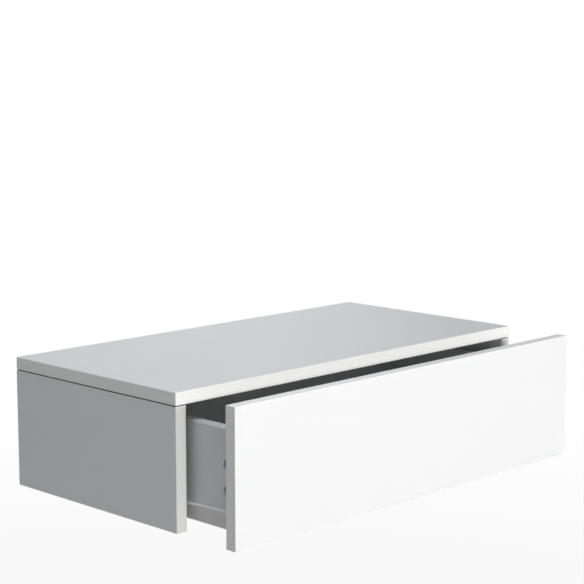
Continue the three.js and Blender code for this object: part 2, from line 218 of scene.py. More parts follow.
def on_planes(axis: int, *levels: float, within: float = TOUCH) -> Test:
    """A test for what lies within some millimetres of a level in metres across an axis."""
    return lambda place, direction: min(abs(place[axis] - at) for at in levels) < within * MM


def inside(boxes: Sequence[Box]) -> Test:
    """A test for what lies in one of some boxes, or on their faces."""
    return lambda place, direction: any(box.grown(TOUCH).holds(place) for box in boxes)


def on_both_sides(parts: Sequence[str]) -> list[str]:
    """The ends of the names of fittings that are at these places on both sides."""
    return Side.LEFT.places(parts) + Side.RIGHT.places(parts)


class Signal:
    """A shader value that can stand in an expression."""

    def __init__(self, graph: "Graph", socket: bpy.types.NodeSocket) -> None:
        """Wraps an output of one of the graph's nodes."""
        self.graph = graph
        self.socket = socket

    def _math(self, operation: str, first: "Term", second: "Term") -> "Signal":
        """Adds a Math node with two terms and returns its value."""
        return self.graph.node("ShaderNodeMath", {"operation": operation}, {0: first, 1: second})

    def __add__(self, other: "Term") -> "Signal":
        """This value plus another."""
        return self._math("ADD", self, other)

    def __sub__(self, other: "Term") -> "Signal":
        """This value minus another."""
        return self._math("SUBTRACT", self, other)

    def __rsub__(self, other: "Term") -> "Signal":
        """Another value minus this one."""
        return self._math("SUBTRACT", other, self)

    def __mul__(self, other: "Term") -> "Signal":
        """This value times another."""
        return self._math("MULTIPLY", self, other)

    __radd__ = __add__
    __rmul__ = __mul__

    def __pow__(self, other: "Term") -> "Signal":
        """This value to a power."""
        return self._math("POWER", self, other)

    def highest(self, other: "Term") -> "Signal":
        """The greater of this value and another."""
        return self._math("MAXIMUM", self, other)


Term = Signal | float
Shade = Signal | Triple


class Graph:
    """The nodes of one material or world."""

    def __init__(self, tree: bpy.types.NodeTree) -> None:
        """Empties a node tree to build in."""
        self.tree = tree
        self.tree.nodes.clear()

    def node(
        self,
        kind: str,
        settings: Mapping[str, object] | None = None,
        inputs: Mapping[str | int, object] | None = None,
        output: str | int = 0,
    ) -> Signal:
        """Adds a node.

        Args:
            kind: The node's type.
            settings: Its properties; "stops" are a ramp's pairs of place and colour.
            inputs: The values or signals of its sockets, by name or number.
            output: The output that the signal stands for.

        Returns:
            The chosen output, as a signal.
        """
        made = self.tree.nodes.new(kind)
        for name, value in (settings or {}).items():
            if name == "stops":
                self._set_stops(made.color_ramp, value)
            else:
                setattr(made, name, value)
        for key, value in (inputs or {}).items():
            if isinstance(value, Signal):
                self.tree.links.new(value.socket, made.inputs[key])
            else:
                made.inputs[key].default_value = value
        return Signal(self, made.outputs[output] if made.outputs else None)

    @staticmethod
    def _set_stops(ramp: bpy.types.ColorRamp, stops: Stops) -> None:
        """Gives a ramp its stops.

        Args:
            ramp: The ramp of a node.
            stops: Pairs of place and colour, from first to last.
        """
        while len(ramp.elements) < len(stops):
            ramp.elements.new(0.5)
        for element, (place, colour) in zip(ramp.elements, stops, strict=True):
            element.position = place
            element.color = (*colour, 1.0)

    def place(self, centre: Vector | None = None, scale: Sequence[float] = (1, 1, 1)) -> Signal:
        """The point that is shaded, in the object's own frame.

        Args:
            centre: The point that the pattern is centred on.
            scale: The factors on the three axes.

        Returns:
            The point as a vector signal.
        """
        here = self.node("ShaderNodeTexCoord", output="Object")
        about = centre or Vector((0, 0, 0))
        back = [-part * factor for part, factor in zip(about, scale, strict=True)]
        inputs = {"Vector": here, "Location": back, "Scale": list(scale)}
        return self.node("ShaderNodeMapping", inputs=inputs)

    def noise(self, place: Signal, size: float, detail: float = 2.0) -> Signal:
        """Soft noise from 0 to 1 with features of a size in millimetres."""
        inputs = {"Vector": place, "Scale": 1 / (size * MM), "Detail": detail}
        return self.node("ShaderNodeTexNoise", inputs=inputs, output="Fac")

    def length(self, vector: Signal) -> Signal:
        """The length of a vector signal."""
        settings = {"operation": "LENGTH"}
        return self.node("ShaderNodeVectorMath", settings, {0: vector}, output="Value")

    def blend(self, factor: Term, first: Shade, second: Shade) -> Signal:
        """A colour between two colours.

        Args:
            factor: 0 for the first colour, 1 for the second.
            first: A colour or a signal.
            second: A colour or a signal.

        Returns:
            The mixed colour.
        """
        colours = [c if isinstance(c, Signal) else (*c, 1.0) for c in (first, second)]
        inputs = {0: factor, 6: colours[0], 7: colours[1]}
        return self.node("ShaderNodeMix", {"data_type": "RGBA"}, inputs, output=2)

    def ramp(self, factor: Signal, stops: Stops) -> Signal:
        """A colour read from a ramp of stops."""
        return self.node("ShaderNodeValToRGB", {"stops": stops}, {"Fac": factor})

    def relief(self, height: Signal, depth: float, strength: float = 1.0) -> Signal:
        """A normal bent by a height from 0 to 1, where 1 is worth a depth in millimetres."""
        inputs = {"Height": height, "Distance": depth * MM, "Strength": strength}
        return self.node("ShaderNodeBump", inputs=inputs, output="Normal")

    def surface(self, sockets: Mapping[str, object]) -> None:
        """Ends the graph in a principled shader with these sockets."""
        shader = self.node("ShaderNodeBsdfPrincipled", inputs=sockets)
        self.node("ShaderNodeOutputMaterial", inputs={"Surface": shader})

    def light_path(self) -> Signal:
        """Tells the rays that see a surface straight, mirrored or through glass.

        Returns:
            1 for those rays, 0 for the others.
        """
        camera, glossy, glass = (
            self.node("ShaderNodeLightPath", output=f"Is {kind} Ray")
            for kind in ("Camera", "Glossy", "Transmission")
        )
        return camera.highest(glossy).highest(glass)


def drawn_out(axis: int | None, factor: float) -> list[float]:
    """The scale of a pattern that is drawn out along an axis."""
    return [factor if i == axis else 1.0 for i in range(3)]


@dataclass(frozen=True)
class Finish:
    """What every finish shares: a name, and one material that is made when first asked for."""

    name: str

    def material(self) -> bpy.types.Material:
        """Finds or makes the finish's material.

        Returns:
            The material.
        """
        known = bpy.data.materials.get(self.name)
        if known:
            return known
        made = bpy.data.materials.new(self.name)
        made.use_nodes = True
        self.paint(Graph(made.node_tree))
        return made

    def paint(self, graph: Graph) -> None:
        """Builds the material's nodes."""
        raise NotImplementedError


@dataclass(frozen=True)
class Coat(Finish):
    """A finish whose colour runs between two shades in patches, under a fine grain.

    Attributes:
        shades: The colours that the patches run between.
        patch: The patches' size in millimetres and detail.
        grain: The grain's size in millimetres and detail.
        roughness: The least roughness, what the grain adds and what the patches add.
        relief: Its depth in millimetres, and the grain's share in it beside the patches.
        shine: How much it mirrors.
        metal: How metallic it is.
        along: The axis that the grain is drawn out along, if there is one.
        squeeze: The factor on the grain's scale along that axis.
    """

    shades: Shades
    patch: Pair
    grain: Pair
    roughness: Triple
    relief: Pair
    shine: float = 0.5
    metal: float = 0.0
    along: int | None = None
    squeeze: float = 0.02

    def paint(self, graph: Graph) -> None:
        """Builds the patches into the colour, and the grain into the gloss and the relief.

        Args:
            graph: The material's nodes.
        """
        patch = graph.noise(graph.place(), *self.patch)
        grain = graph.noise(graph.place(scale=drawn_out(self.along, self.squeeze)), *self.grain)
        least, from_grain, from_patch = self.roughness
        depth, share = self.relief
        graph.surface(
            {
                "Base Color": graph.blend(patch, *self.shades),
                "Metallic": self.metal,
                "Roughness": least + from_grain * grain + from_patch * patch,
                "Specular IOR Level": self.shine,
                "Normal": graph.relief(share * grain + (1 - share) * patch, depth),
            }
        )


@dataclass(frozen=True)
class Melamine(Coat):
    """White melamine film on a board's broad faces, with a fine pearl grain."""

    name: str = "melamine"
    shades: Shades = ((0.80925, 0.814125, 0.819), (0.83, 0.835, 0.84))
    patch: Pair = (70, 3)
    grain: Pair = (0.75, 3)
    roughness: Triple = (0.4, 0.12, 0.06)
    relief: Pair = (0.012, 1)
    shine: float = 0.24


@dataclass(frozen=True)
class EdgeBand(Coat):
    """Thin plastic edging, with the faint lines of its extrusion along its length. Its shades are
    paler than the melamine's: partly the edging's own colour, partly painted light on the lit
    edges.
    """

    shades: Shades = ((0.882, 0.882, 0.87514), (0.9, 0.9, 0.893))
    patch: Pair = (45, 2)
    grain: Pair = (0.5, 2)
    roughness: Triple = (0.34, 0.14, 0)
    relief: Pair = (0.008, 1)
    shine: float = 0.32


@dataclass(frozen=True)
class PaintedShadeLine(Coat):
    """A dark grey painted shade inside the fine line under the top, over the sawn board, standing
    in for the groove's shadow.
    """

    name: str = "line_lacquer"
    shades: Shades = ((0.06, 0.06, 0.062), (0.096, 0.096, 0.0992))
    patch: Pair = (1.2, 4)
    grain: Pair = (1.2, 4)
    roughness: Triple = (0.75, 0.15, 0)
    relief: Pair = (0.06, 1)
    shine: float = 0.2


@dataclass(frozen=True)
class Lacquer(Coat):
    """The light grey printed lacquer on the upper face of the thin, wavy bottom; its grey is
    painted shade, which keeps the drawer's inside dark by bouncing less light into it.
    """

    name: str = "lacquer"
    shades: Shades = ((0.485, 0.485, 0.4753), (0.5, 0.5, 0.49))
    patch: Pair = (14, 2)
    grain: Pair = (0.6, 3)
    roughness: Triple = (0.5, 0.12, 0)
    relief: Pair = (0.02, 0.7)


@dataclass(frozen=True)
class EpoxyCoat(Coat):
    """Off-white epoxy powder coat on the folded runners, like orange peel and dull in patches."""

    name: str = "epoxy_coat"
    shades: Shades = ((0.7885, 0.7885, 0.77425), (0.83, 0.83, 0.815))
    patch: Pair = (12, 4)
    grain: Pair = (1.5, 1)
    roughness: Triple = (0.3, 0, 0.16)
    relief: Pair = (0.03, 1)


@dataclass(frozen=True)
class DieCastZinc(Coat):
    """Die-cast zinc of the cams: bluish, softly mottled and finely pitted, and kept dark as painted
    shade for the cams' sunken dishes.
    """

    name: str = "die_cast_zinc"
    shades: Shades = ((0.252, 0.2695, 0.315), (0.36, 0.385, 0.45))
    patch: Pair = (2.2, 3)
    grain: Pair = (0.35, 4)
    roughness: Triple = (0.45, 0.2, 0)
    relief: Pair = (0.03, 0.7)
    metal: float = 0.35


@dataclass(frozen=True)
class HighlightRimZinc(DieCastZinc):
    """The cams' raised rims, in a lighter zinc than the rest of the cam as a painted highlight."""

    name: str = "rubbed_zinc"
    shades: Shades = ((0.406, 0.42, 0.455), (0.58, 0.6, 0.65))


@dataclass(frozen=True)
class PlatedSteel(Coat):
    """Bright zinc plating on screws, rivets and bolts, with a slightly yellowish bloom."""

    name: str = "plated_steel"
    shades: Shades = ((0.5, 0.515, 0.53), (0.5, 0.485, 0.42))
    patch: Pair = (3.5, 2)
    grain: Pair = (0.25, 3)
    roughness: Triple = (0.22, 0.16, 0)
    relief: Pair = (0.01, 1)
    metal: float = 1.0


@dataclass(frozen=True)
class Wooden(Finish):
    """A finish with a ramp of browns under marks of one darker colour.

    Attributes:
        browns: The ramp's pairs of place and colour.
        mark: The colour of the marks.
        roughness: The least roughness, and what the fibres add.
        relief: Its depth in millimetres and its strength.
    """

    browns: Stops
    mark: Triple
    roughness: Pair
    relief: Pair

    def cover(self, tone: Signal, marks: Signal, fibres: Signal, height: Signal) -> None:
        """Ends the graph in the surface.

        Args:
            tone: The place on the ramp.
            marks: How much the marks cover.
            fibres: What the roughness follows.
            height: The height of the relief, from 0 to 1.
        """
        graph = tone.graph
        least, more = self.roughness
        graph.surface(
            {
                "Base Color": graph.blend(marks, graph.ramp(tone, self.browns), self.mark),
                "Roughness": least + more * fibres,
                "Normal": graph.relief(height, *self.relief),
            }
        )


@dataclass(frozen=True)
class Chipboard(Wooden):
    """The raw core of a board, where it is sawn, drilled or grooved."""

    name: str = "chipboard"
    browns: Stops = (
        (0.3, (0.38, 0.27, 0.17)),
        (0.5, (0.58, 0.44, 0.3)),
        (0.7, (0.71, 0.58, 0.43)),
    )
    mark: Triple = (0.22, 0.15, 0.09)
    roughness: Pair = (0.78, 0.15)
    relief: Pair = (0.25, 0.8)
    chip: float = 2.2

    def paint(self, graph: Graph) -> None:
        """Builds pale and dark chips with small gaps between them.

        Args:
            graph: The material's nodes.
        """
        place = graph.place()
        patch, fibres = graph.noise(place, 6, 2), graph.noise(place, 0.9, 5)
        inputs = {"Vector": place, "Scale": 1 / (self.chip * MM)}
        cells = graph.node("ShaderNodeTexVoronoi", {"feature": "F1"}, inputs, output="Distance")
        gap = 0.6 * (cells * 1.2) ** 5.0
        self.cover(0.55 * fibres + 0.45 * patch, gap, fibres, 1 - gap - 0.4 * fibres)


@dataclass(frozen=True)
class Hardboard(Wooden):
    """Brown fibreboard, with the print of the screen that it was pressed on."""

    name: str = "raw_hardboard"
    browns: Stops = (
        (0.3, (0.13, 0.075, 0.04)),
        (0.55, (0.26, 0.16, 0.09)),
        (0.75, (0.4, 0.27, 0.17)),
    )
    mark: Triple = (0.12, 0.07, 0.04)
    roughness: Pair = (0.72, 0.2)
    relief: Pair = (0.12, 0.8)
    mesh: float = 1.6

    def paint(self, graph: Graph) -> None:
        """Builds matted fibres under a square screen print.

        Args:
            graph: The material's nodes.
        """
        place = graph.place()
        fibres, patch = graph.noise(place, 1.1, 6), graph.noise(place, 30, 2)
        scale = math.tau / 20 / (self.mesh * MM)
        inputs = {"Vector": place, "Scale": scale, "Distortion": 0.6}
        threads, across = (
            graph.node("ShaderNodeTexWave", {"bands_direction": axis}, inputs, output="Fac")
            for axis in ("X", "Y")
        )
        screen = threads.highest(across)
        tone, height = 0.6 * fibres + 0.4 * patch, 0.6 * screen + 0.4 * fibres
        self.cover(tone, 0.25 * screen, fibres, height)


@dataclass(frozen=True)
class Beech(Wooden):
    """Beech of the dowels, with its grain and short dark flecks along the pin."""

    browns: Stops = (
        (0.3, (0.44, 0.27, 0.15)),
        (0.55, (0.6, 0.41, 0.25)),
        (0.75, (0.69, 0.51, 0.34)),
    )
    mark: Triple = (0.3, 0.17, 0.09)
    roughness: Pair = (0.6, 0.2)
    relief: Pair = (0.05, 1.0)
    along: int = 2

    def paint(self, graph: Graph) -> None:
        """Builds long grain and shorter flecks.

        Args:
            graph: The material's nodes.
        """
        grain = graph.noise(graph.place(scale=drawn_out(self.along, 0.08)), 1.2, 4)
        flecks = graph.noise(graph.place(scale=drawn_out(self.along, 0.25)), 0.6, 1) ** 6.0
        self.cover(grain, 3.0 * flecks, grain, grain)


@dataclass(frozen=True)
class Nylon(Finish):
    """A moulded nylon roller: rings on its faces, and a tread that is polished by running."""

    centre: Triple
    radius: float = 8.0
    ring: float = 0.9
    colour: Triple = (0.72, 0.72, 0.7)
    worn_colour: Triple = (0.42, 0.42, 0.41)

    def paint(self, graph: Graph) -> None:
        """Builds rings round the roller's axis, which lies along X.

        Args:
            graph: The material's nodes.
        """
        reach = graph.length(graph.place(Vector(self.centre), (0, 1, 1)))
        worn = (reach * (1 / (self.radius * MM))) ** 24.0
        turns = reach * (math.tau / (self.ring * MM))
        ripple = graph.node("ShaderNodeMath", {"operation": "SINE"}, {0: turns})
        haze = graph.noise(graph.place(), 2.5, 3)
        graph.surface(
            {
                "Base Color": graph.blend(0.35 * worn * haze, self.colour, self.worn_colour),
                "Roughness": 0.52 + 0.1 * haze - 0.14 * worn,
                "Normal": graph.relief(0.5 + 0.3 * ripple + 0.2 * haze, 0.02),
            }
        )


class Workpiece:
    """One mesh while it is modelled with Blender's own tools."""

    def __init__(self, made: bpy.types.Object, name: str) -> None:
        """Names a new object and its mesh."""
        self.object = made
        made.name = made.data.name = name

    @classmethod
    def start(
        cls, name: str, add: Callable, scale: Sequence[float] = (1, 1, 1), **settings: object
    ) -> "Workpiece":
        """Starts a piece from one of Blender's own forms.

        Args:
            name: The piece's name.
            add: The operator that adds the form.
            scale: The factors on its three axes.
            **settings: The operator's own settings.

        Returns:
            The new piece.
        """
        bpy.ops.object.select_all(action="DESELECT")
        add(**settings)
        piece = cls(bpy.context.object, name)
        piece.object.scale = scale
        return piece.settle()

    @classmethod
    def block(cls, name: str, box: Box) -> "Workpiece":
        """A piece that fills a box."""
        add = bpy.ops.mesh.primitive_cube_add
        return cls.start(name, add, box.size, size=1, location=box.middle)

    @classmethod
    def rod(cls, start: Vector, way: Vector, radius: float, length: float) -> "Workpiece":
        """A round start, which is mostly a cutter.

        Args:
            start: The centre of its first end, in metres.
            way: The unit vector along it.
            radius: In millimetres.
            length: In millimetres.

        Returns:
            The new piece.
        """
        return cls.start(
            "rod",
            bpy.ops.mesh.primitive_cylinder_add,
            vertices=ROUND,
            radius=radius * MM,
            depth=length * MM,
            location=start + way * (length * MM / 2),
            rotation=way.to_track_quat("Z", "Y").to_euler(),
        )

    @classmethod
    def wall(cls, name: str, x: float, node: Box, levels: Pair) -> "Workpiece":
        """An upright flat start in the plane of Y and Z.

        Args:
            name: The piece's name.
            x: The place of its plane, in metres.
            node: A box that is as long as the piece.
            levels: The heights of its low and high edge, in metres.

        Returns:
            The new piece.
        """
        low, high = levels
        return cls.start(
            name,
            bpy.ops.mesh.primitive_plane_add,
            (high - low, node.size.y, 1),
            size=1,
            location=Vector((x, node.middle.y, (low + high) / 2)),
            rotation=(0, math.pi / 2, 0),
        )

    @classmethod
    def turned(cls, name: str, outline: Sequence[Pair], sides: int = 40) -> "Workpiece":
        """A piece turned round Z.

        Args:
            name: The piece's name.
            outline: Pairs of radius and height in millimetres, closed or from pole to pole.
            sides: How many steps the turn has.

        Returns:
            The new piece.
        """
        bpy.ops.object.select_all(action="DESELECT")
        bpy.ops.mesh.primitive_plane_add(size=1)
        piece = cls(bpy.context.object, name)
        points = [Vector((radius, 0, height)) * MM for radius, height in outline]
        with piece._editing():
            bpy.ops.mesh.select_mode(type=Mode.POINTS.value)
            bpy.ops.mesh.select_all(action="SELECT")
            bpy.ops.mesh.merge(type="CENTER")
            bpy.ops.transform.translate(value=points[0])
            for here, after in zip(points, points[1:], strict=False):
                bpy.ops.mesh.extrude_vertices_move(TRANSFORM_OT_translate={"value": after - here})
            bpy.ops.mesh.select_all(action="SELECT")
            bpy.ops.mesh.spin(steps=sides, angle=math.tau, center=(0, 0, 0), axis=(0, 0, 1))
            bpy.ops.mesh.select_all(action="SELECT")
            bpy.ops.mesh.remove_doubles(threshold=WELD * MM)
            bpy.ops.mesh.normals_make_consistent(inside=False)
        return piece

    def _activate(self) -> None:
        """Selects this piece alone and makes it the active one."""
        bpy.ops.object.select_all(action="DESELECT")
        self.object.select_set(True)
        bpy.context.view_layer.objects.active = self.object

    def settle(self) -> "Workpiece":
        """Moves the object's place, turn and scale into its mesh.

        Returns:
            The piece itself, as all the steps below do.
        """
        self._activate()
        bpy.ops.object.transform_apply(location=True, rotation=True, scale=True)
        return self

    @contextmanager
    def _editing(self) -> Iterator[None]:
        """Holds the piece in edit mode."""
        self._activate()
        bpy.ops.object.mode_set(mode="EDIT")
        yield
        bpy.ops.object.mode_set(mode="OBJECT")

    @contextmanager
    def _picked(self, mode: Mode, wanted: Test) -> Iterator[None]:
        """Holds the piece in edit mode with some of its points, edges or faces selected.

        Args:
            mode: What is selected.
            wanted: A test on a place and a direction: a point's or a face's normal, or an
                edge's own direction.
        """
        with self._editing():
            bpy.ops.mesh.select_mode(type=mode.value)
            bpy.ops.mesh.select_all(action="DESELECT")
            shape = bmesh.from_edit_mesh(self.object.data)
            if mode is Mode.FACES:
                found = [f for f in shape.faces if wanted(f.calc_center_median(), f.normal)]
            elif mode is Mode.EDGES:
                ends = [(edge, *(v.co for v in edge.verts)) for edge in shape.edges]
                found = [e for e, a, b in ends if wanted((a + b) / 2, (b - a).normalized())]
            else:
                found = [v for v in shape.verts if wanted(v.co, v.normal)]
            for part in found:
                part.select_set(True)
            shape.select_flush_mode()
            bmesh.update_edit_mesh(self.object.data)
            yield

    def _edit(self, step: Callable, mode: Mode, wanted: Test, **settings: object) -> "Workpiece":
        """Runs one of Blender's operators on a part of the mesh.

        Args:
            step: The operator.
            mode: What it works on.
            wanted: The test for its part of the mesh.
            **settings: The operator's own settings.

        Returns:
            The piece itself.
        """
        with self._picked(mode, wanted):
            step(**settings)
        return self

    def bevel(self, width: float, segments: int, wanted: Test = anywhere) -> "Workpiece":
        """Rounds or breaks some edges, by a width in millimetres."""
        settings = {"offset": width * MM, "segments": segments, "clamp_overlap": True}
        return self._edit(bpy.ops.mesh.bevel, Mode.EDGES, wanted, affect="EDGES", **settings)

    def inset(self, width: float, depth: float, wanted: Test = anywhere) -> "Workpiece":
        """Insets some faces by a width and sinks them by a depth, in millimetres."""
        settings = {"thickness": width * MM, "depth": -depth * MM}
        return self._edit(bpy.ops.mesh.inset, Mode.FACES, wanted, **settings)

    def extrude(self, shift: Vector, wanted: Test) -> "Workpiece":
        """Draws some edges out by a shift in metres."""
        move = {"TRANSFORM_OT_translate": {"value": shift}}
        return self._edit(bpy.ops.mesh.extrude_region_move, Mode.EDGES, wanted, **move)

    def shift(self, shift: Vector, wanted: Test) -> "Workpiece":
        """Moves some points by a shift in metres."""
        return self._edit(bpy.ops.transform.translate, Mode.POINTS, wanted, value=shift)

    def split(self, place: Vector, normal: Vector) -> "Workpiece":
        """Cuts a line of edges into the whole mesh along a plane."""
        plane = {"plane_co": place, "plane_no": normal}
        return self._edit(bpy.ops.mesh.bisect, Mode.FACES, anywhere, **plane)

    def _apply(self, kind: str, **settings: object) -> "Workpiece":
        """Adds a modifier and applies it.

        Args:
            kind: The modifier's type.
            **settings: Its properties.

        Returns:
            The piece itself.
        """
        self._activate()
        bpy.ops.object.modifier_add(type=kind)
        modifier = self.object.modifiers[-1]
        for name, value in settings.items():
            setattr(modifier, name, value)
        bpy.ops.object.modifier_apply(modifier=modifier.name)
        return self

    def thicken(self, thickness: float) -> "Workpiece":
        """Gives a surface a thickness in millimetres, half to each side."""
        return self._apply("SOLIDIFY", thickness=thickness * MM, offset=0.0, use_even_offset=True)

    def join(self, operation: str, *tools: "Workpiece") -> "Workpiece":
        """Cuts or joins with other pieces, which are used up.

        Args:
            operation: DIFFERENCE to cut, UNION to join.
            *tools: The other pieces, in their order.

        Returns:
            The piece itself.
        """
        for tool in tools:
            self._apply("BOOLEAN", operation=operation, object=tool.object, solver="EXACT")
            tool.drop()
        return self

    def cut(self, *tools: "Workpiece") -> "Workpiece":
        """Takes other pieces out of this one."""
        return self.join("DIFFERENCE", *tools)

    def carve(self, boxes: Sequence[Box]) -> "Workpiece":
        """Takes boxes out of this piece."""
        return self.cut(*[Workpiece.block("cutter", box) for box in boxes])

    def copied(self, name: str, matrix: Matrix) -> "Workpiece":
        """A copy with its own mesh.

        Args:
            name: The copy's name.
            matrix: Where it goes. If it mirrors, the copy's faces are turned outwards again.

        Returns:
            The copy.
        """
        twin = self.object.copy()
        twin.data = self.object.data.copy()
        bpy.context.scene.collection.objects.link(twin)
        piece = Workpiece(twin, name)
        twin.matrix_world = matrix
        piece.settle()
        if matrix.determinant() < 0:
            turn = bpy.ops.mesh.normals_make_consistent
            piece._edit(turn, Mode.FACES, anywhere, inside=False)
        return piece

    def drop(self) -> None:
        """Removes a cutter that is used up, or a pattern once its copies are made."""
        bpy.data.objects.remove(self.object)

    def dress(self, finish: Finish, *others: tuple[Finish, Test]) -> "Workpiece":
        """Gives every face the last finish whose test it passes, and smooths the shading.

        Args:
            finish: The finish of all faces that pass no test.
            *others: Pairs of a finish and the test for its faces.

        Returns:
            The piece itself.
        """
        for index, (coat, wanted) in enumerate([(finish, anywhere), *others]):
            self.object.data.materials.append(coat.material())
            with self._picked(Mode.FACES, wanted):
                self.object.active_material_index = index
                bpy.ops.object.material_slot_assign()
        self._activate()
        bpy.ops.object.shade_smooth_by_angle(angle=SMOOTH_BELOW)
        return self._apply("WEIGHTED_NORMAL", mode="FACE_AREA", weight=50, keep_sharp=True)

    def fit(self, body: str, slot: str, *nodes: str) -> None:
        """Puts the piece on its body and in the place of its CAD nodes.

        Args:
            body: The CAD body that it moves with.
            slot: The record's material slot; not used.
            *nodes: The CAD nodes that it stands for.
        """
        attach(self.object, body)
        if nodes:
            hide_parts(*nodes)
        log.info("%s rides on %s, %d faces", self.object.name, body, len(self.object.data.polygons))


def seat(node: str, outward: Way, towards: Way | None = None) -> Matrix:
    """Where a fitting goes that is modelled with its head's top at the origin and looking up.

    Args:
        node: The CAD node that it stands for.
        outward: The way that its head looks.
        towards: The way that its own X axis points, if that matters.

    Returns:
        The matrix from the fitting's own frame to the model's.
    """
    up = outward.vector
    side = (towards or (Way.UP if outward.axis != Way.UP.axis else Way.RIGHT)).vector
    turn = Matrix((side, up.cross(side), up)).transposed().to_4x4()
    return Matrix.Translation(Box.of(node).face(outward)) @ turn


def bore(node: str, radius: float, mouth: Way | None = None) -> Workpiece:
    """A cutter round a fitting's axis.

    Args:
        node: The CAD node that lies in the bore.
        radius: The bore's radius in millimetres.
        mouth: The way to the open end of a pocket, along the fitting's short axis. Without
            it the bore follows the long axis.

    Returns:
        The cutter.
    """
    box = Box.of(node)
    axis = box.short_axis() if mouth else box.long_axis()
    way = Vector([float(i == axis) for i in range(3)])
    box = box.grown(SLIP)
    if mouth:
        box = box.pushed(mouth, OVERRUN)
    start = box.middle
    start[axis] = box.low[axis]
    return Workpiece.rod(start, way, radius, box.size[axis] / MM)


def bores(places: Sequence[str], *kinds: tuple) -> list[Workpiece]:
    """The cutters for kinds of fittings, each with what bore takes, place by place."""
    return [bore(f"{kind}_{place}", *sizes) for place in places for kind, *sizes in kinds]


def cross_bars(size: Triple) -> list[Workpiece]:
    """The two cutters of a cross recess.

    Args:
        size: The bars' length, width and depth in millimetres.

    Returns:
        The bars, across each other round the origin.
    """
    long, wide, deep = size
    corners = [Vector((x, y, deep * 2)) * (MM / 2) for x, y in ((long, wide), (wide, long))]
    return [Workpiece.block("cutter", Box(-corner, corner)) for corner in corners]


@dataclass(frozen=True)
class Board:
    """A melamine-faced chipboard with plastic edging on the edges that show.

    Attributes:
        node: The CAD node that it stands for.
        name: The name of the board itself; its edging is named after it.
        body: The CAD body that it rides on.
        banded: The edges with edging. An earlier one covers the ends of the later ones.
        band: The thickness of the edging.
        rounding: The radius of the edging's outer edges.
        seam: The fine chamfer where board and edging meet.
    """

    node: str
    name: str
    body: str
    banded: tuple[Way, ...]
    band: float = 1.0
    rounding: float = 0.7
    seam: float = 0.08

    def make(self, cutters: Sequence[Workpiece], rebates: Sequence[Box] = ()) -> None:
        """Builds the board and its edging.

        Args:
            cutters: The cutters of its bores and grooves.
            rebates: Boxes that are cut from the board and from its edging.
        """
        whole = core = Box.of(self.node)
        for way in self.banded:
            self._make_band(way, whole, core.slab(way, self.band), rebates)
            core = core.pushed(way, -self.band)
        piece = Workpiece.block(self.name, core).bevel(self.seam, 1)
        piece.carve(rebates).cut(*cutters)
        axis = whole.short_axis()
        film = on_planes(axis, whole.low[axis], whole.high[axis], within=self.seam)
        # The rebates' faces get the dark grey painted shade of the fine line.
        piece.dress(Chipboard(), (Melamine(), film), (PaintedShadeLine(), inside(rebates)))
        piece.fit(self.body, "board", self.node)

    def _make_band(self, way: Way, whole: Box, strip: Box, rebates: Sequence[Box]) -> None:
        """Builds one edging strip.

        Args:
            way: The edge that it covers.
            whole: The box of the whole board.
            strip: The box of the strip.
            rebates: Boxes that are cut from it.
        """
        piece = Workpiece.block(f"{self.name}_{way.name.lower()}_band", strip)
        piece.bevel(self.rounding, 4, lambda place, along: whole.outer_planes(place) > 1)
        piece.bevel(self.seam, 1, on_planes(way.axis, strip.plane(way.opposite)))
        piece.carve(rebates)
        along = strip.long_axis()
        piece.dress(EdgeBand(f"edge_band_{'xyz'[along]}", along=along))
        piece.fit(self.body, "board")


@dataclass(frozen=True)
class CamLock:
    """A die-cast cam with a raised rim, a cross recess and an arrow towards its bolt.

    Attributes:
        rim: The width of the flat rim.
        slope: The width of the dish's sloping wall.
        dish: Its depth.
        step: The width of the step round the boss in the dish.
        boss: The height of the boss.
        edge: How much the rim's edges are rounded.
        cross: The length, width and depth of the recess.
        arrow: The radius of the arrow.
        arrow_depth: How deep it is cut.
        arrow_inset: How far its middle is inside the rim.
        throat_start: Where the bore for the bolt begins, from the cam's axis.
    """

    radius: float = 7.3
    depth: float = 12.3
    rim: float = 0.45
    slope: float = 1.4
    dish: float = 2.3
    step: float = 0.4
    boss: float = 0.35
    edge: float = 0.2
    cross: Triple = (8.0, 1.7, 3.4)
    arrow: float = 1.1
    arrow_depth: float = 2.0
    arrow_inset: float = 0.6
    throat_radius: float = 4.1
    throat_depth: float = 7.8
    throat_start: float = -2.8

    def pattern(self) -> Workpiece:
        """Builds the cam that all others are copied from.

        Returns:
            The pattern, with its rim at the origin and looking up.
        """
        cam = Workpiece.rod(Vector(), Way.DOWN.vector, self.radius, self.depth)
        for width, sink in ((self.rim, 0), (self.slope, self.dish), (self.step, -self.boss)):
            cam.inset(width, sink, self._in_middle)
        cam.bevel(self.edge, 2, on_planes(2, 0.0)).cut(*cross_bars(self.cross))
        tip = Vector((self.radius - self.rim - self.arrow_inset, 0, 0)) * MM
        arrow = Workpiece.start(
            "cutter",
            bpy.ops.mesh.primitive_cylinder_add,
            vertices=3,
            radius=self.arrow * MM,
            depth=2 * self.arrow_depth * MM,
            location=tip,
        )
        start = Vector((self.throat_start, 0, -self.throat_depth)) * MM
        throat = Workpiece.rod(start, Way.RIGHT.vector, self.throat_radius, 2 * self.radius)
        return cam.cut(arrow, throat)

    @staticmethod
    def _in_middle(place: Vector, normal: Vector) -> bool:
        """Whether a face looks up from the middle of the cam."""
        return Way.UP.faced_by(normal) and place.xy.length < TOUCH * MM


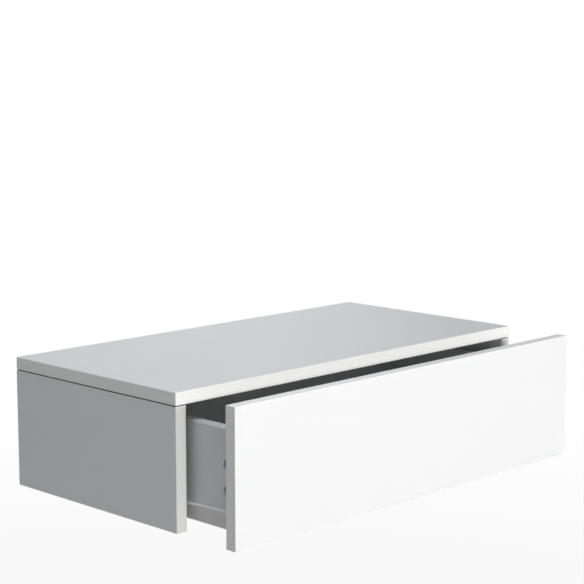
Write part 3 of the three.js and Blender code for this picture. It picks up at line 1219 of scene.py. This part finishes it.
@dataclass(frozen=True)
class Screw:
    """A wood screw with a cross recess.

    Attributes:
        length: From the top of the head to the tip.
        head: Pairs of radius and depth of the head, from its edge to the shank.
        thread_start: Where the thread begins, below the top of the head.
        root: The radius between the thread's turns.
        crest: The radius of the thread.
        tip: The length of the pointed end.
        recess: The length, width and depth of the cross.
        taper: How much the foot of the cross is narrowed.
    """

    length: float
    head: Pairs
    thread_start: float
    root: float = 1.35
    crest: float = 2.0
    pitch: float = 1.5
    tip: float = 3.0
    recess: Triple = (3.4, 0.75, 1.1)
    taper: float = 0.3

    def pattern(self) -> Workpiece:
        """Builds the screw that all others of its kind are copied from.

        Returns:
            The pattern, with the top of its head at the origin and looking up.
        """
        outline = [(0.0, 0.0), *((radius, -depth) for radius, depth in self.head)]
        place = self.thread_start
        while place + self.pitch < self.length - self.pitch / 2:
            share = min(1.0, (self.length - place - self.pitch) / self.tip)
            outline.append((self.root * share, -place))
            outline.append((self.crest * share, -place - self.pitch / 2))
            place += self.pitch
        end = self.root * min(1.0, (self.length - place) / self.tip)
        screw = Workpiece.turned("screw", [*outline, (end, -place), (0.0, -self.length)], 24)
        foot = on_planes(2, -self.recess[2] * MM)
        return screw.cut(*[bar.bevel(self.taper, 1, foot) for bar in cross_bars(self.recess)])


PAN_SCREW = Screw(
    length=14.6,
    head=(
        (1.4, 0.0),
        (2.3, 0.3),
        (3.0, 0.75),
        (3.4, 1.3),
        (3.4, 1.55),
        (3.3, 1.6),
        (2.0, 1.6),
        (2.0, 2.6),
    ),
    thread_start=3.0,
)
SUNK_SCREW = Screw(
    length=40.0,
    head=((3.85, 0.0), (4.0, 0.12), (4.0, 0.3), (2.1, 2.6), (1.6, 4.0), (1.6, 14.0)),
    thread_start=14.0,
    tip=4.0,
    recess=(3.8, 0.8, 1.6),
)


@dataclass(frozen=True)
class Roller:
    """A nylon roller and the rivet that it turns on.

    Attributes:
        slope: The width of the pocket's wall at the hub.
        pocket: The depth of the ring-shaped pocket in each face.
        rim: Pairs of inset from the tread and depth from the face, from the pocket outwards.
        mouth: The radius of the counterbore for the rivet's head.
        spot: The radius of the dimples in the pocket.
        crown: Pairs of share of the head's radius and depth, of the rivet's head.
        tail: Pairs of inset from the shank and height over the end, of its riveted end.
    """

    radius: float = 8.0
    width: float = 6.4
    bore: float = 2.12
    hub: float = 4.6
    slope: float = 0.3
    pocket: float = 0.7
    rim: Pairs = ((1.5, 0.7), (1.2, 0.0), (0.7, 0.0), (0.2, 0.25), (0.02, 0.8))
    mouth: float = 3.6
    mouth_depth: float = 1.5
    spots: int = 6
    spot: float = 0.7
    spot_depth: float = 0.8
    rivet_radius: float = 2.0
    rivet_head: float = 3.2
    rivet_length: float = 7.9
    crown: Pairs = ((0.0, 0.0), (0.45, 0.06), (0.8, 0.3), (0.97, 0.65), (1.0, 0.95), (1.0, 1.0))
    tail: Pairs = ((0.0, 0.3), (0.25, 0.0), (0.7, 0.0), (1.0, 0.35), (2.0, 0.45))

    def pattern(self) -> Workpiece:
        """Builds the roller that the others are copied from.

        Returns:
            The pattern, with its open face at the origin and looking up.
        """
        r, w = self.radius, self.width
        face = [(self.hub, 0.0), (self.hub + self.slope, self.pocket)]
        face += [(r - inset, depth) for inset, depth in self.rim]
        outline = [
            (self.bore, -w),
            *((radius, depth - w) for radius, depth in face),
            (r, -w / 2),
            *((radius, -depth) for radius, depth in reversed(face)),
            (self.mouth, 0.0),
            (self.mouth, -self.mouth_depth),
            (self.bore, -self.mouth_depth),
            (self.bore, -w),
        ]
        roller = Workpiece.turned("roller", outline, 64)
        reach = (self.hub + r - self.rim[1][0]) / 2
        for spot in range(self.spots):
            angle = math.tau * spot / self.spots
            depth = self.pocket + self.spot_depth
            start = Vector((reach * math.cos(angle), reach * math.sin(angle), -depth)) * MM
            roller.cut(Workpiece.rod(start, Way.UP.vector, self.spot, 2 * OVERRUN))
        return roller

    def rivet(self) -> Workpiece:
        """Builds the rivet that the others are copied from.

        Returns:
            The pattern, with its head's top at the origin and looking up.
        """
        shank, end = self.rivet_radius, self.rivet_length
        outline = [(self.rivet_head * share, -depth) for share, depth in self.crown]
        outline.append((shank, outline[-1][1]))
        outline += [(shank - inset, height - end) for inset, height in self.tail]
        return Workpiece.turned("rivet", outline, 40)


@dataclass(frozen=True)
class Runners:
    """The four folded members of the roller runners.

    Attributes:
        sheet: Their thickness.
        bend: The radius of a fold, at the middle of the sheet.
        edge: How much the cut ends are broken.
        guard: The reach of the upper flange of the cabinet's member.
        flange: The reach of the drawer member's flange, from the web's inner face.
        leg: The reach of its leg under the drawer's side.
        ramp: How far the flange climbs towards the front.
        climb: Where the climb ends and where it begins, from the front end.
        stops: Pairs of place behind the carcass's front and height, of the open and shut stop.
        stop_inset: How far a stop stays back from the track's free edge.
        channel_slots: Where the slots are, as shares of the cabinet member's length.
        rail_slots: The same for the drawer's member.
    """

    sheet: float = 1.2
    bend: float = 1.1
    edge: float = 0.12
    guard: float = 8.0
    flange: float = 8.2
    leg: float = 13.0
    ramp: float = 2.3
    climb: Pair = (17.8, 95.8)
    slot_radius: float = 2.1
    slot_length: float = 9.0
    stops: Pairs = ((102.9, 2.0), (250.3, 9.5))
    stop_thickness: float = 1.5
    stop_inset: float = 0.4
    stop_rounding: float = 0.5
    channel_slots: Triple = (0.32, 0.5, 0.94)
    rail_slots: Triple = (0.45, 0.62, 0.78)
    screw_bore: float = 2.2
    axle_bore: float = 2.12

    def make(self) -> None:
        """Builds both members on each side, with the left ones mirrored from the right."""
        mirror = Matrix.Scale(-1, 4, Way.RIGHT.vector)
        for pattern, name, node, body in (
            (self._channel(), "cabinet_channel", "cabinet_runner", "cabinet"),
            (self._rail(), "drawer_rail", "drawer_runner", "drawer"),
        ):
            for side in Side:
                matrix = Matrix.Identity(4) if side is Side.RIGHT else mirror
                piece = pattern.copied(f"{name}_{side.value}", matrix)
                piece.dress(EpoxyCoat())
                piece.fit(body, "runner", f"{node}_{side.value}")
            pattern.drop()

    def _fold(self, piece: Workpiece, x: float, node: Box, levels: Pair) -> None:
        """Rounds a member's folds, gives the sheet its thickness and breaks its cut ends.

        Args:
            piece: The member, as a surface with sharp folds.
            x: The place of its upright part.
            node: The member's box.
            levels: The heights of that part's edges, without the climb.
        """
        low, high = levels
        near = TOUCH * MM

        def is_fold(place: Vector, along: Vector) -> bool:
            """Whether an edge runs along the foot or the head of the upright part."""
            outer = not low + near < place.z < high - near
            return outer and abs(place.x - x) < near and abs(along.y) > ALIGNED

        piece.bevel(self.bend, 5, is_fold).thicken(self.sheet)
        piece.bevel(self.edge, 1, on_planes(1, node.low.y, node.high.y))

    def _pierce(self, piece: Workpiece, member: str, centre: Vector, slots: Triple) -> None:
        """Cuts a member's slots and the bores for its screws.

        Args:
            piece: The member.
            member: The start of its node's name.
            centre: A point on its upright part, at the height of the slots.
            slots: Where they are, as shares of its length.
        """
        node = Box.of(f"{member}_right")
        for share in slots:
            centre.y = node.low.y + node.size.y * share
            piece.cut(self._slot(centre))
        piece.cut(*bores(Side.RIGHT.places(ENDS), (f"{member}_screw", self.screw_bore)))

    def _slot(self, centre: Vector) -> Workpiece:
        """Builds a cutter for a slot with round ends, along Y through the upright sheet.

        Args:
            centre: The slot's centre.

        Returns:
            The cutter.
        """
        right = Way.RIGHT.vector
        half = (self.slot_length / 2 - self.slot_radius) * MM
        start = centre - right * 2 * OVERRUN * MM
        ends = [
            Workpiece.rod(start + Vector((0, shift, 0)), right, self.slot_radius, 4 * OVERRUN)
            for shift in (-half, half)
        ]
        reach = Vector((1, 1, 1)) * self.slot_radius * MM
        reach.xy = 2 * OVERRUN * MM, half
        return Workpiece.block("cutter", Box(centre - reach, centre + reach)).join("UNION", *ends)

    def _channel(self) -> Workpiece:
        """Builds the right member on the cabinet: a wall, a track below and a guard above.

        Returns:
            The pattern of both.
        """
        node = Box.of("cabinet_runner_right")
        half = self.sheet * MM / 2
        x = node.high.x - half
        low, high = levels = (node.low.z + half, node.high.z - half)
        piece = Workpiece.wall("channel", x, node, levels)
        piece.extrude(Vector((node.low.x - x, 0, 0)), on_planes(2, low))
        piece.extrude(Vector((half - self.guard * MM, 0, 0)), on_planes(2, high))
        self._fold(piece, x, node, levels)
        for place, height in self.stops:
            y = Box.of("left_side_panel").low.y + place * MM
            top = node.low.z + (self.sheet + height) * MM
            corner = Vector((node.low.x + self.stop_inset * MM, y, low))
            far = Vector((x, y + self.stop_thickness * MM, top))
            stop = Workpiece.block("stop", Box(corner, far))
            piece.join("UNION", stop.bevel(self.stop_rounding, 3, on_planes(2, top)))
        screws = Box.of("cabinet_runner_screw_right_front").middle
        self._pierce(piece, "cabinet_runner", Vector((x, 0, screws.z)), self.channel_slots)
        return piece.cut(bore("front_axle_right", self.axle_bore))

    def _rail(self) -> Workpiece:
        """Builds the right member on the drawer: a leg, a web and a flange with a climb.

        Returns:
            The pattern of both.
        """
        node = Box.of("drawer_runner_right")
        half = self.sheet * MM / 2
        x = node.low.x + (self.leg - self.sheet / 2) * MM
        low, high = levels = (node.low.z + half, node.high.z - half - self.ramp * MM)
        piece = Workpiece.wall("rail", x, node, levels)
        for place in self.climb:
            piece.split(Vector((0, node.low.y + place * MM, 0)), Way.REAR.vector)
        crest = node.low.y + (self.climb[0] + TOUCH) * MM
        head = high - TOUCH * MM
        climb = Way.UP.vector * self.ramp * MM
        piece.shift(climb, lambda place, normal: place.y < crest and place.z > head)
        piece.extrude(Vector((node.low.x - x, 0, 0)), on_planes(2, low))
        flange = Vector((self.flange * MM - half, 0, 0))
        piece.extrude(flange, lambda place, along: place.z > head and abs(along.y) > ALIGNED)
        self._fold(piece, x, node, levels)
        centre = Vector((x, 0, (low + high) / 2))
        self._pierce(piece, "drawer_runner", centre, self.rail_slots)
        return piece.cut(bore("rear_axle_right", self.axle_bore))


@dataclass(frozen=True)
class Joinery:
    """The radii of the bores that both the cabinet's boards and the drawer's have."""

    cam_bore: float = 7.5
    bolt_bore: float = 4.0
    pilot: float = 3.2
    dowel_bore: float = 4.25
    screw_bore: float = 2.2


@dataclass(frozen=True)
class Cabinet(Joinery):
    """The fixed carcass: a top on two sides, with a board between them at the wall.

    Attributes:
        line_height: The height of the fine line under the top.
        line_depth: Its depth.
        wall_hole: The radius of the holes for the wall screws.
        wall_hole_x: Their places to the left and right of the middle.
        wall_hole_inset: How far they are from the board's long edges.
    """

    line_height: float = 1.0
    line_depth: float = 2.5
    wall_hole: float = 2.75
    wall_hole_x: float = 200.0
    wall_hole_inset: float = 30.0

    def make(self) -> None:
        """Builds the four boards."""
        self._make_top()
        for side in Side:
            self._make_side(side)
        self._make_back()

    def _make_top(self) -> None:
        """Builds the top, with edging on its front and both ends."""
        places = on_both_sides(ENDS)
        cutters = bores(places, ("top_cam_bolt", self.pilot))
        cutters += bores(places, ("top_dowel", self.dowel_bore))
        Board("top_panel", "top_board", "cabinet", (Way.FRONT, Way.LEFT, Way.RIGHT)).make(cutters)

    def _make_side(self, side: Side) -> None:
        """Builds a side with its fine line along the outer face and the front edge.

        Args:
            side: The side that it is on.
        """
        name, out = side.value, side.out
        cutters = bores(
            side.places(ENDS),
            ("top_cam", self.cam_bore, out.opposite),
            ("top_cam_bolt", self.bolt_bore),
            ("top_dowel", self.dowel_bore),
            ("cabinet_runner_screw", self.screw_bore),
        )
        cutters += bores([name], ("back_cam_bolt", self.pilot), ("back_dowel", self.dowel_bore))
        node = f"{name}_side_panel"
        box = Box.of(node)
        line = box.grown(OVERRUN).pushed(Way.DOWN, self.line_height - OVERRUN - box.size.z / MM)
        rebates = [
            line.pushed(way.opposite, self.line_depth - OVERRUN - box.size[way.axis] / MM)
            for way in (out, Way.FRONT)
        ]
        board = Board(node, f"{name}_side_board", "cabinet", (Way.FRONT, Way.DOWN))
        board.make(cutters, rebates)

    def _make_back(self) -> None:
        """Builds the board at the wall, with four holes for wall screws."""
        cutters = bores(
            [side.value for side in Side],
            ("back_cam", self.cam_bore, Way.FRONT),
            ("back_cam_bolt", self.bolt_bore),
            ("back_dowel", self.dowel_bore),
        )
        box, inset = Box.of("back_panel"), self.wall_hole_inset * MM
        depth = box.size.y / MM + 2 * OVERRUN
        for x in (-self.wall_hole_x * MM, self.wall_hole_x * MM):
            for z in (box.low.z + inset, box.high.z - inset):
                start = Vector((x, box.low.y - OVERRUN * MM, z))
                cutters.append(Workpiece.rod(start, Way.REAR.vector, self.wall_hole, depth))
        Board("back_panel", "back_board", "cabinet", (Way.DOWN,)).make(cutters)


@dataclass(frozen=True)
class Drawer(Joinery):
    """The drawer: a front that covers the whole carcass, and a box hung on it with cams.

    Attributes:
        sink: Pairs of radius and height of the countersink for the screws of the back.
        sheet_edge: How much the thin bottom's edges are broken.
    """

    sink: Pairs = ((0, 1), (4.25, 1), (4.25, -0.35), (2.2, -2.8), (0, -2.8))
    sheet_edge: float = 0.25

    def make(self) -> None:
        """Builds the front, the box and its bottom."""
        self._make_front()
        for side in Side:
            self._make_side(side)
        self._make_back()
        self._make_bottom()

    @staticmethod
    def _groove() -> Workpiece:
        """The cutter for the groove that holds the bottom."""
        return Workpiece.block("cutter", Box.of("drawer_bottom").grown(SLIP))

    def _countersink(self, side: Side, level: str) -> Workpiece:
        """Builds the cutter for the head of a screw through a drawer side.

        Args:
            side: The drawer side.
            level: Which of its two screws.

        Returns:
            The cutter.
        """
        pattern = Workpiece.turned("sink", self.sink)
        matrix = seat(f"drawer_back_screw_{side.value}_{level}", side.out)
        cutter = pattern.copied("cutter", matrix)
        pattern.drop()
        return cutter

    def _make_front(self) -> None:
        """Builds the front, with edging all round."""
        cutters = bores(on_both_sides(LEVELS), ("front_cam_bolt", self.pilot))
        banded = (Way.LEFT, Way.RIGHT, Way.UP, Way.DOWN)
        board = Board("drawer_front", "drawer_front_board", "drawer", banded)
        board.make([*cutters, self._groove()])

    def _make_side(self, side: Side) -> None:
        """Builds a side of the box, with edging on top.

        Args:
            side: The side that it is on.
        """
        cutters = [self._groove()]
        for level in LEVELS:
            cutters += bores(
                side.places([level]),
                ("front_cam", self.cam_bore, side.out),
                ("front_cam_bolt", self.bolt_bore),
                ("drawer_back_screw", self.screw_bore),
            )
            cutters.append(self._countersink(side, level))
        cutters += bores(side.places(ENDS), ("drawer_runner_screw", self.screw_bore))
        node = f"drawer_{side.value}_side"
        Board(node, f"{node}_board", "drawer", (Way.UP,)).make(cutters)

    def _make_back(self) -> None:
        """Builds the back of the box, with edging on top."""
        cutters = bores(on_both_sides(LEVELS), ("drawer_back_screw", self.screw_bore))
        Board("drawer_back", "drawer_back_board", "drawer", (Way.UP,)).make(cutters)

    def _make_bottom(self) -> None:
        """Builds the thin bottom, lacquered above and raw below."""
        piece = Workpiece.block("drawer_bottom_sheet", Box.of("drawer_bottom"))
        piece.bevel(self.sheet_edge, 1)
        # The lacquer's grey upper face is painted shade for the drawer's dark inside.
        piece.dress(Hardboard(), (Lacquer(), lambda place, normal: Way.UP.faced_by(normal)))
        piece.fit("drawer", "hardboard", "drawer_bottom")


@dataclass(frozen=True)
class Hardware:
    """The fittings that hold the boards together and let the drawer roll."""

    def make(self) -> None:
        """Builds every cam, screw, roller and rivet, and dresses the hidden nodes."""
        self._make_cams()
        self._make_screws()
        self._make_rollers()
        self._dress_hidden()

    @staticmethod
    def _make_cams() -> None:
        """Builds the ten cams: four on the front, four under the top and two in the back."""
        pattern = CamLock().pattern()
        places = []
        for side in Side:
            name, out = side.value, side.out
            for level in LEVELS:
                places.append((f"front_cam_{name}_{level}", out, Way.FRONT, "drawer"))
            for end in ENDS:
                places.append((f"top_cam_{name}_{end}", out.opposite, Way.UP, "cabinet"))
            places.append((f"back_cam_{name}", Way.FRONT, out, "cabinet"))
        for node, outward, towards, body in places:
            piece = pattern.copied(node.replace("cam", "lock"), seat(node, outward, towards))
            # The rims take the lighter zinc as a painted highlight; the rest of each cam takes the
            # darker zinc as painted shade.
            rim = on_planes(outward.axis, Box.of(node).plane(outward), within=SLIP)
            piece.dress(DieCastZinc(), (HighlightRimZinc(), rim))
            piece.fit(body, "zinc", node)
        pattern.drop()

    @staticmethod
    def _make_screws() -> None:
        """Builds the runner screws and the screws of the drawer's back."""
        pan, sunk = PAN_SCREW.pattern(), SUNK_SCREW.pattern()
        places = []
        for side in Side:
            name, out = side.value, side.out
            for end in ENDS:
                places.append((pan, f"cabinet_runner_screw_{name}_{end}", out.opposite, "cabinet"))
                places.append((pan, f"drawer_runner_screw_{name}_{end}", Way.DOWN, "drawer"))
            for level in LEVELS:
                places.append((sunk, f"drawer_back_screw_{name}_{level}", out, "drawer"))
        for pattern, node, outward, body in places:
            piece = pattern.copied(node.replace("screw", "fixing"), seat(node, outward))
            piece.dress(PlatedSteel())
            piece.fit(body, "steel", node)
        pan.drop()
        sunk.drop()

    @staticmethod
    def _make_rollers() -> None:
        """Builds the rollers on the channels and the rails, each on its rivet."""
        roller, rivet = Roller().pattern(), Roller().rivet()
        for side in Side:
            name, out = side.value, side.out
            for end, outward, body in zip(ENDS, (out.opposite, out), ("cabinet", "drawer")):
                node, pin_node = f"{end}_roller_{name}", f"{end}_axle_{name}"
                wheel = roller.copied(f"{end}_wheel_{name}", seat(node, outward))
                wheel.dress(Nylon(f"nylon_{end}_{name}", tuple(Box.of(node).middle)))
                wheel.fit(f"{name}_{end}_wheel", "roller", node)
                pin = rivet.copied(f"{end}_rivet_{name}", seat(pin_node, outward))
                pin.dress(PlatedSteel())
                pin.fit(body, "steel", pin_node)
        roller.drop()
        rivet.drop()

    @staticmethod
    def _dress_hidden() -> None:
        """Gives the bolts and dowels inside the boards their finishes."""
        for name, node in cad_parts.items():
            if "bolt" in name:
                finish: Finish = PlatedSteel()
            elif "dowel" in name:
                along = Box.of(name).long_axis()
                finish = Beech(f"beech_{'xyz'[along]}", along=along)
            else:
                continue
            for slot in node.material_slots:
                slot.material = finish.material()
            log.info("%s keeps its shape, in %s", name, finish.name)


@dataclass(frozen=True)
class PaleFloor(Finish):
    """A floor that keeps a faint shadow near the object, and looks white farther off.

    Attributes:
        height: Its place below the object, in metres.
        shade: How much of the matt floor shows near the object.
        near: How far from the middle that begins to fade, in metres.
        far: Where it has faded out.
    """

    name: str = "pale_floor"
    height: float = -0.53
    shade: float = 0.1
    near: float = 0.5
    far: float = 2.5

    def paint(self, graph: Graph) -> None:
        """Builds a matt white that glows for the camera and is clear from below.

        Args:
            graph: The material's nodes.
        """
        reach = graph.length(graph.place(Vector((0, 0, self.height))))
        fade = {"From Min": self.near, "From Max": self.far, "To Min": 1.0, "To Max": 0.0}
        smooth = {"interpolation_type": "SMOOTHSTEP"}
        close = graph.node("ShaderNodeMapRange", smooth, {"Value": reach, **fade})
        matt = graph.node("ShaderNodeBsdfDiffuse", inputs={"Color": (0.8, 0.8, 0.8, 1.0)})
        glow = {"Color": (1.0, 1.0, 1.0, 1.0), "Strength": 1.0}
        white = graph.node("ShaderNodeEmission", inputs=glow)
        factor = graph.light_path() * (1 - self.shade * close)
        seen = graph.node("ShaderNodeMixShader", inputs={0: factor, 1: matt, 2: white})
        clear = graph.node("ShaderNodeBsdfTransparent")
        below = graph.node("ShaderNodeNewGeometry", output="Backfacing")
        straight = graph.node("ShaderNodeLightPath", output="Is Camera Ray")
        ends = {0: below * straight, 1: seen, 2: clear}
        both = graph.node("ShaderNodeMixShader", inputs=ends)
        graph.node("ShaderNodeOutputMaterial", inputs={"Surface": both})


@dataclass(frozen=True)
class Lamp:
    """A soft round lamp that looks at the object.

    Attributes:
        azimuth: Degrees from straight ahead of the front, towards the right.
        elevation: Degrees above the horizon.
        distance: Metres from the object.
        size: Metres across.
        power: Watts.
    """

    name: str
    azimuth: float
    elevation: float
    distance: float
    size: float
    power: float
    colour: Triple = (1.0, 1.0, 1.0)

    def hang(self, target: Vector) -> None:
        """Adds the lamp to the scene.

        Args:
            target: The point that it is turned to.
        """
        a, e = math.radians(self.azimuth), math.radians(self.elevation)
        way = Vector((math.sin(a) * math.cos(e), -math.cos(a) * math.cos(e), math.sin(e)))
        data = bpy.data.lights.new(self.name, "AREA")
        data.shape = "DISK"
        data.size = self.size
        data.energy = self.power
        data.color = self.colour
        lamp = bpy.data.objects.new(self.name, data)
        lamp.location = target + way * self.distance
        lamp.rotation_euler = way.to_track_quat("Z", "Y").to_euler()
        lamp.visible_camera = False
        bpy.context.scene.collection.objects.link(lamp)


@dataclass(frozen=True)
class Studio:
    """The camera, the lamps, the pale surroundings and the floor.

    Attributes:
        camera_yaw: Degrees from straight ahead, towards the right.
        camera_pitch: Degrees below the horizon.
        fill: The strength of the surroundings' light on the object.
        floor_size: Metres across.
        floor_ring: The width of the floor's outer ring, in metres.
        target: The point that the lamps look at.
    """

    camera_place: Triple = (-1.5646, -1.7332, 0.5020)
    camera_yaw: float = 45.366
    camera_pitch: float = 8.720
    lens: float = 101.377
    sensor: float = 36.0
    fill: float = 0.09
    fill_colour: Triple = (0.98, 0.99, 1.0)
    floor_size: float = 30.0
    floor_ring: float = 1.0
    target: Triple = (0.0, -0.16, 0.0)
    lamps: tuple[Lamp, ...] = (
        Lamp("over", -50, 70, 3.2, 1.4, 31, (0.92, 0.955, 1.0)),
        Lamp("front", 7, 11, 8.5, 0.9, 296),
        Lamp("front_left", -13.5, 10.5, 8.0, 1.1, 240, (1.0, 0.988, 0.955)),
        Lamp("rear", 140, 3, 3.2, 1.6, 18),
    )

    def make(self) -> None:
        """Builds the studio."""
        self._make_camera()
        self._make_world()
        self._make_floor()
        for lamp in self.lamps:
            lamp.hang(Vector(self.target))

    def _make_camera(self) -> None:
        """Builds the camera, at the photograph's viewing angle."""
        data = bpy.data.cameras.new("camera")
        data.lens = self.lens
        data.sensor_width = self.sensor
        camera = bpy.data.objects.new("camera", data)
        camera.location = self.camera_place
        tilt = math.radians(90 - self.camera_pitch)
        camera.rotation_euler = (tilt, 0, -math.radians(self.camera_yaw))
        bpy.context.scene.collection.objects.link(camera)
        bpy.context.scene.camera = camera

    def _make_world(self) -> None:
        """Builds a low even fill that looks white to the camera and in reflections."""
        world = bpy.data.worlds.new("surroundings")
        world.use_nodes = True
        bpy.context.scene.world = world
        graph = Graph(world.node_tree)
        seen = graph.light_path()
        tone = graph.blend(seen, self.fill_colour, (1.0, 1.0, 1.0))
        strength = self.fill + (1 - self.fill) * seen
        sky = graph.node("ShaderNodeBackground", inputs={"Color": tone, "Strength": strength})
        graph.node("ShaderNodeOutputWorld", inputs={"Surface": sky})

    def _make_floor(self) -> None:
        """Builds the floor, which stays out of the object."""
        finish = PaleFloor()
        floor = Workpiece.start(
            "floor",
            bpy.ops.mesh.primitive_circle_add,
            vertices=2 * ROUND,
            radius=self.floor_size / 2,
            fill_type="NGON",
            location=(0, 0, finish.height),
        )
        floor.inset(self.floor_ring / MM, 0)
        floor.object.data.materials.append(finish.material())


def main() -> None:
    """Builds the nightstand's looks and the studio."""
    logging.basicConfig(level=logging.INFO, format="%(message)s")
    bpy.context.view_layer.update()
    Cabinet().make()
    Drawer().make()
    Runners().make()
    Hardware().make()
    Studio().make()
    bpy.context.scene.view_settings.view_transform = "Standard"


if __name__ == "__main__":
    main()
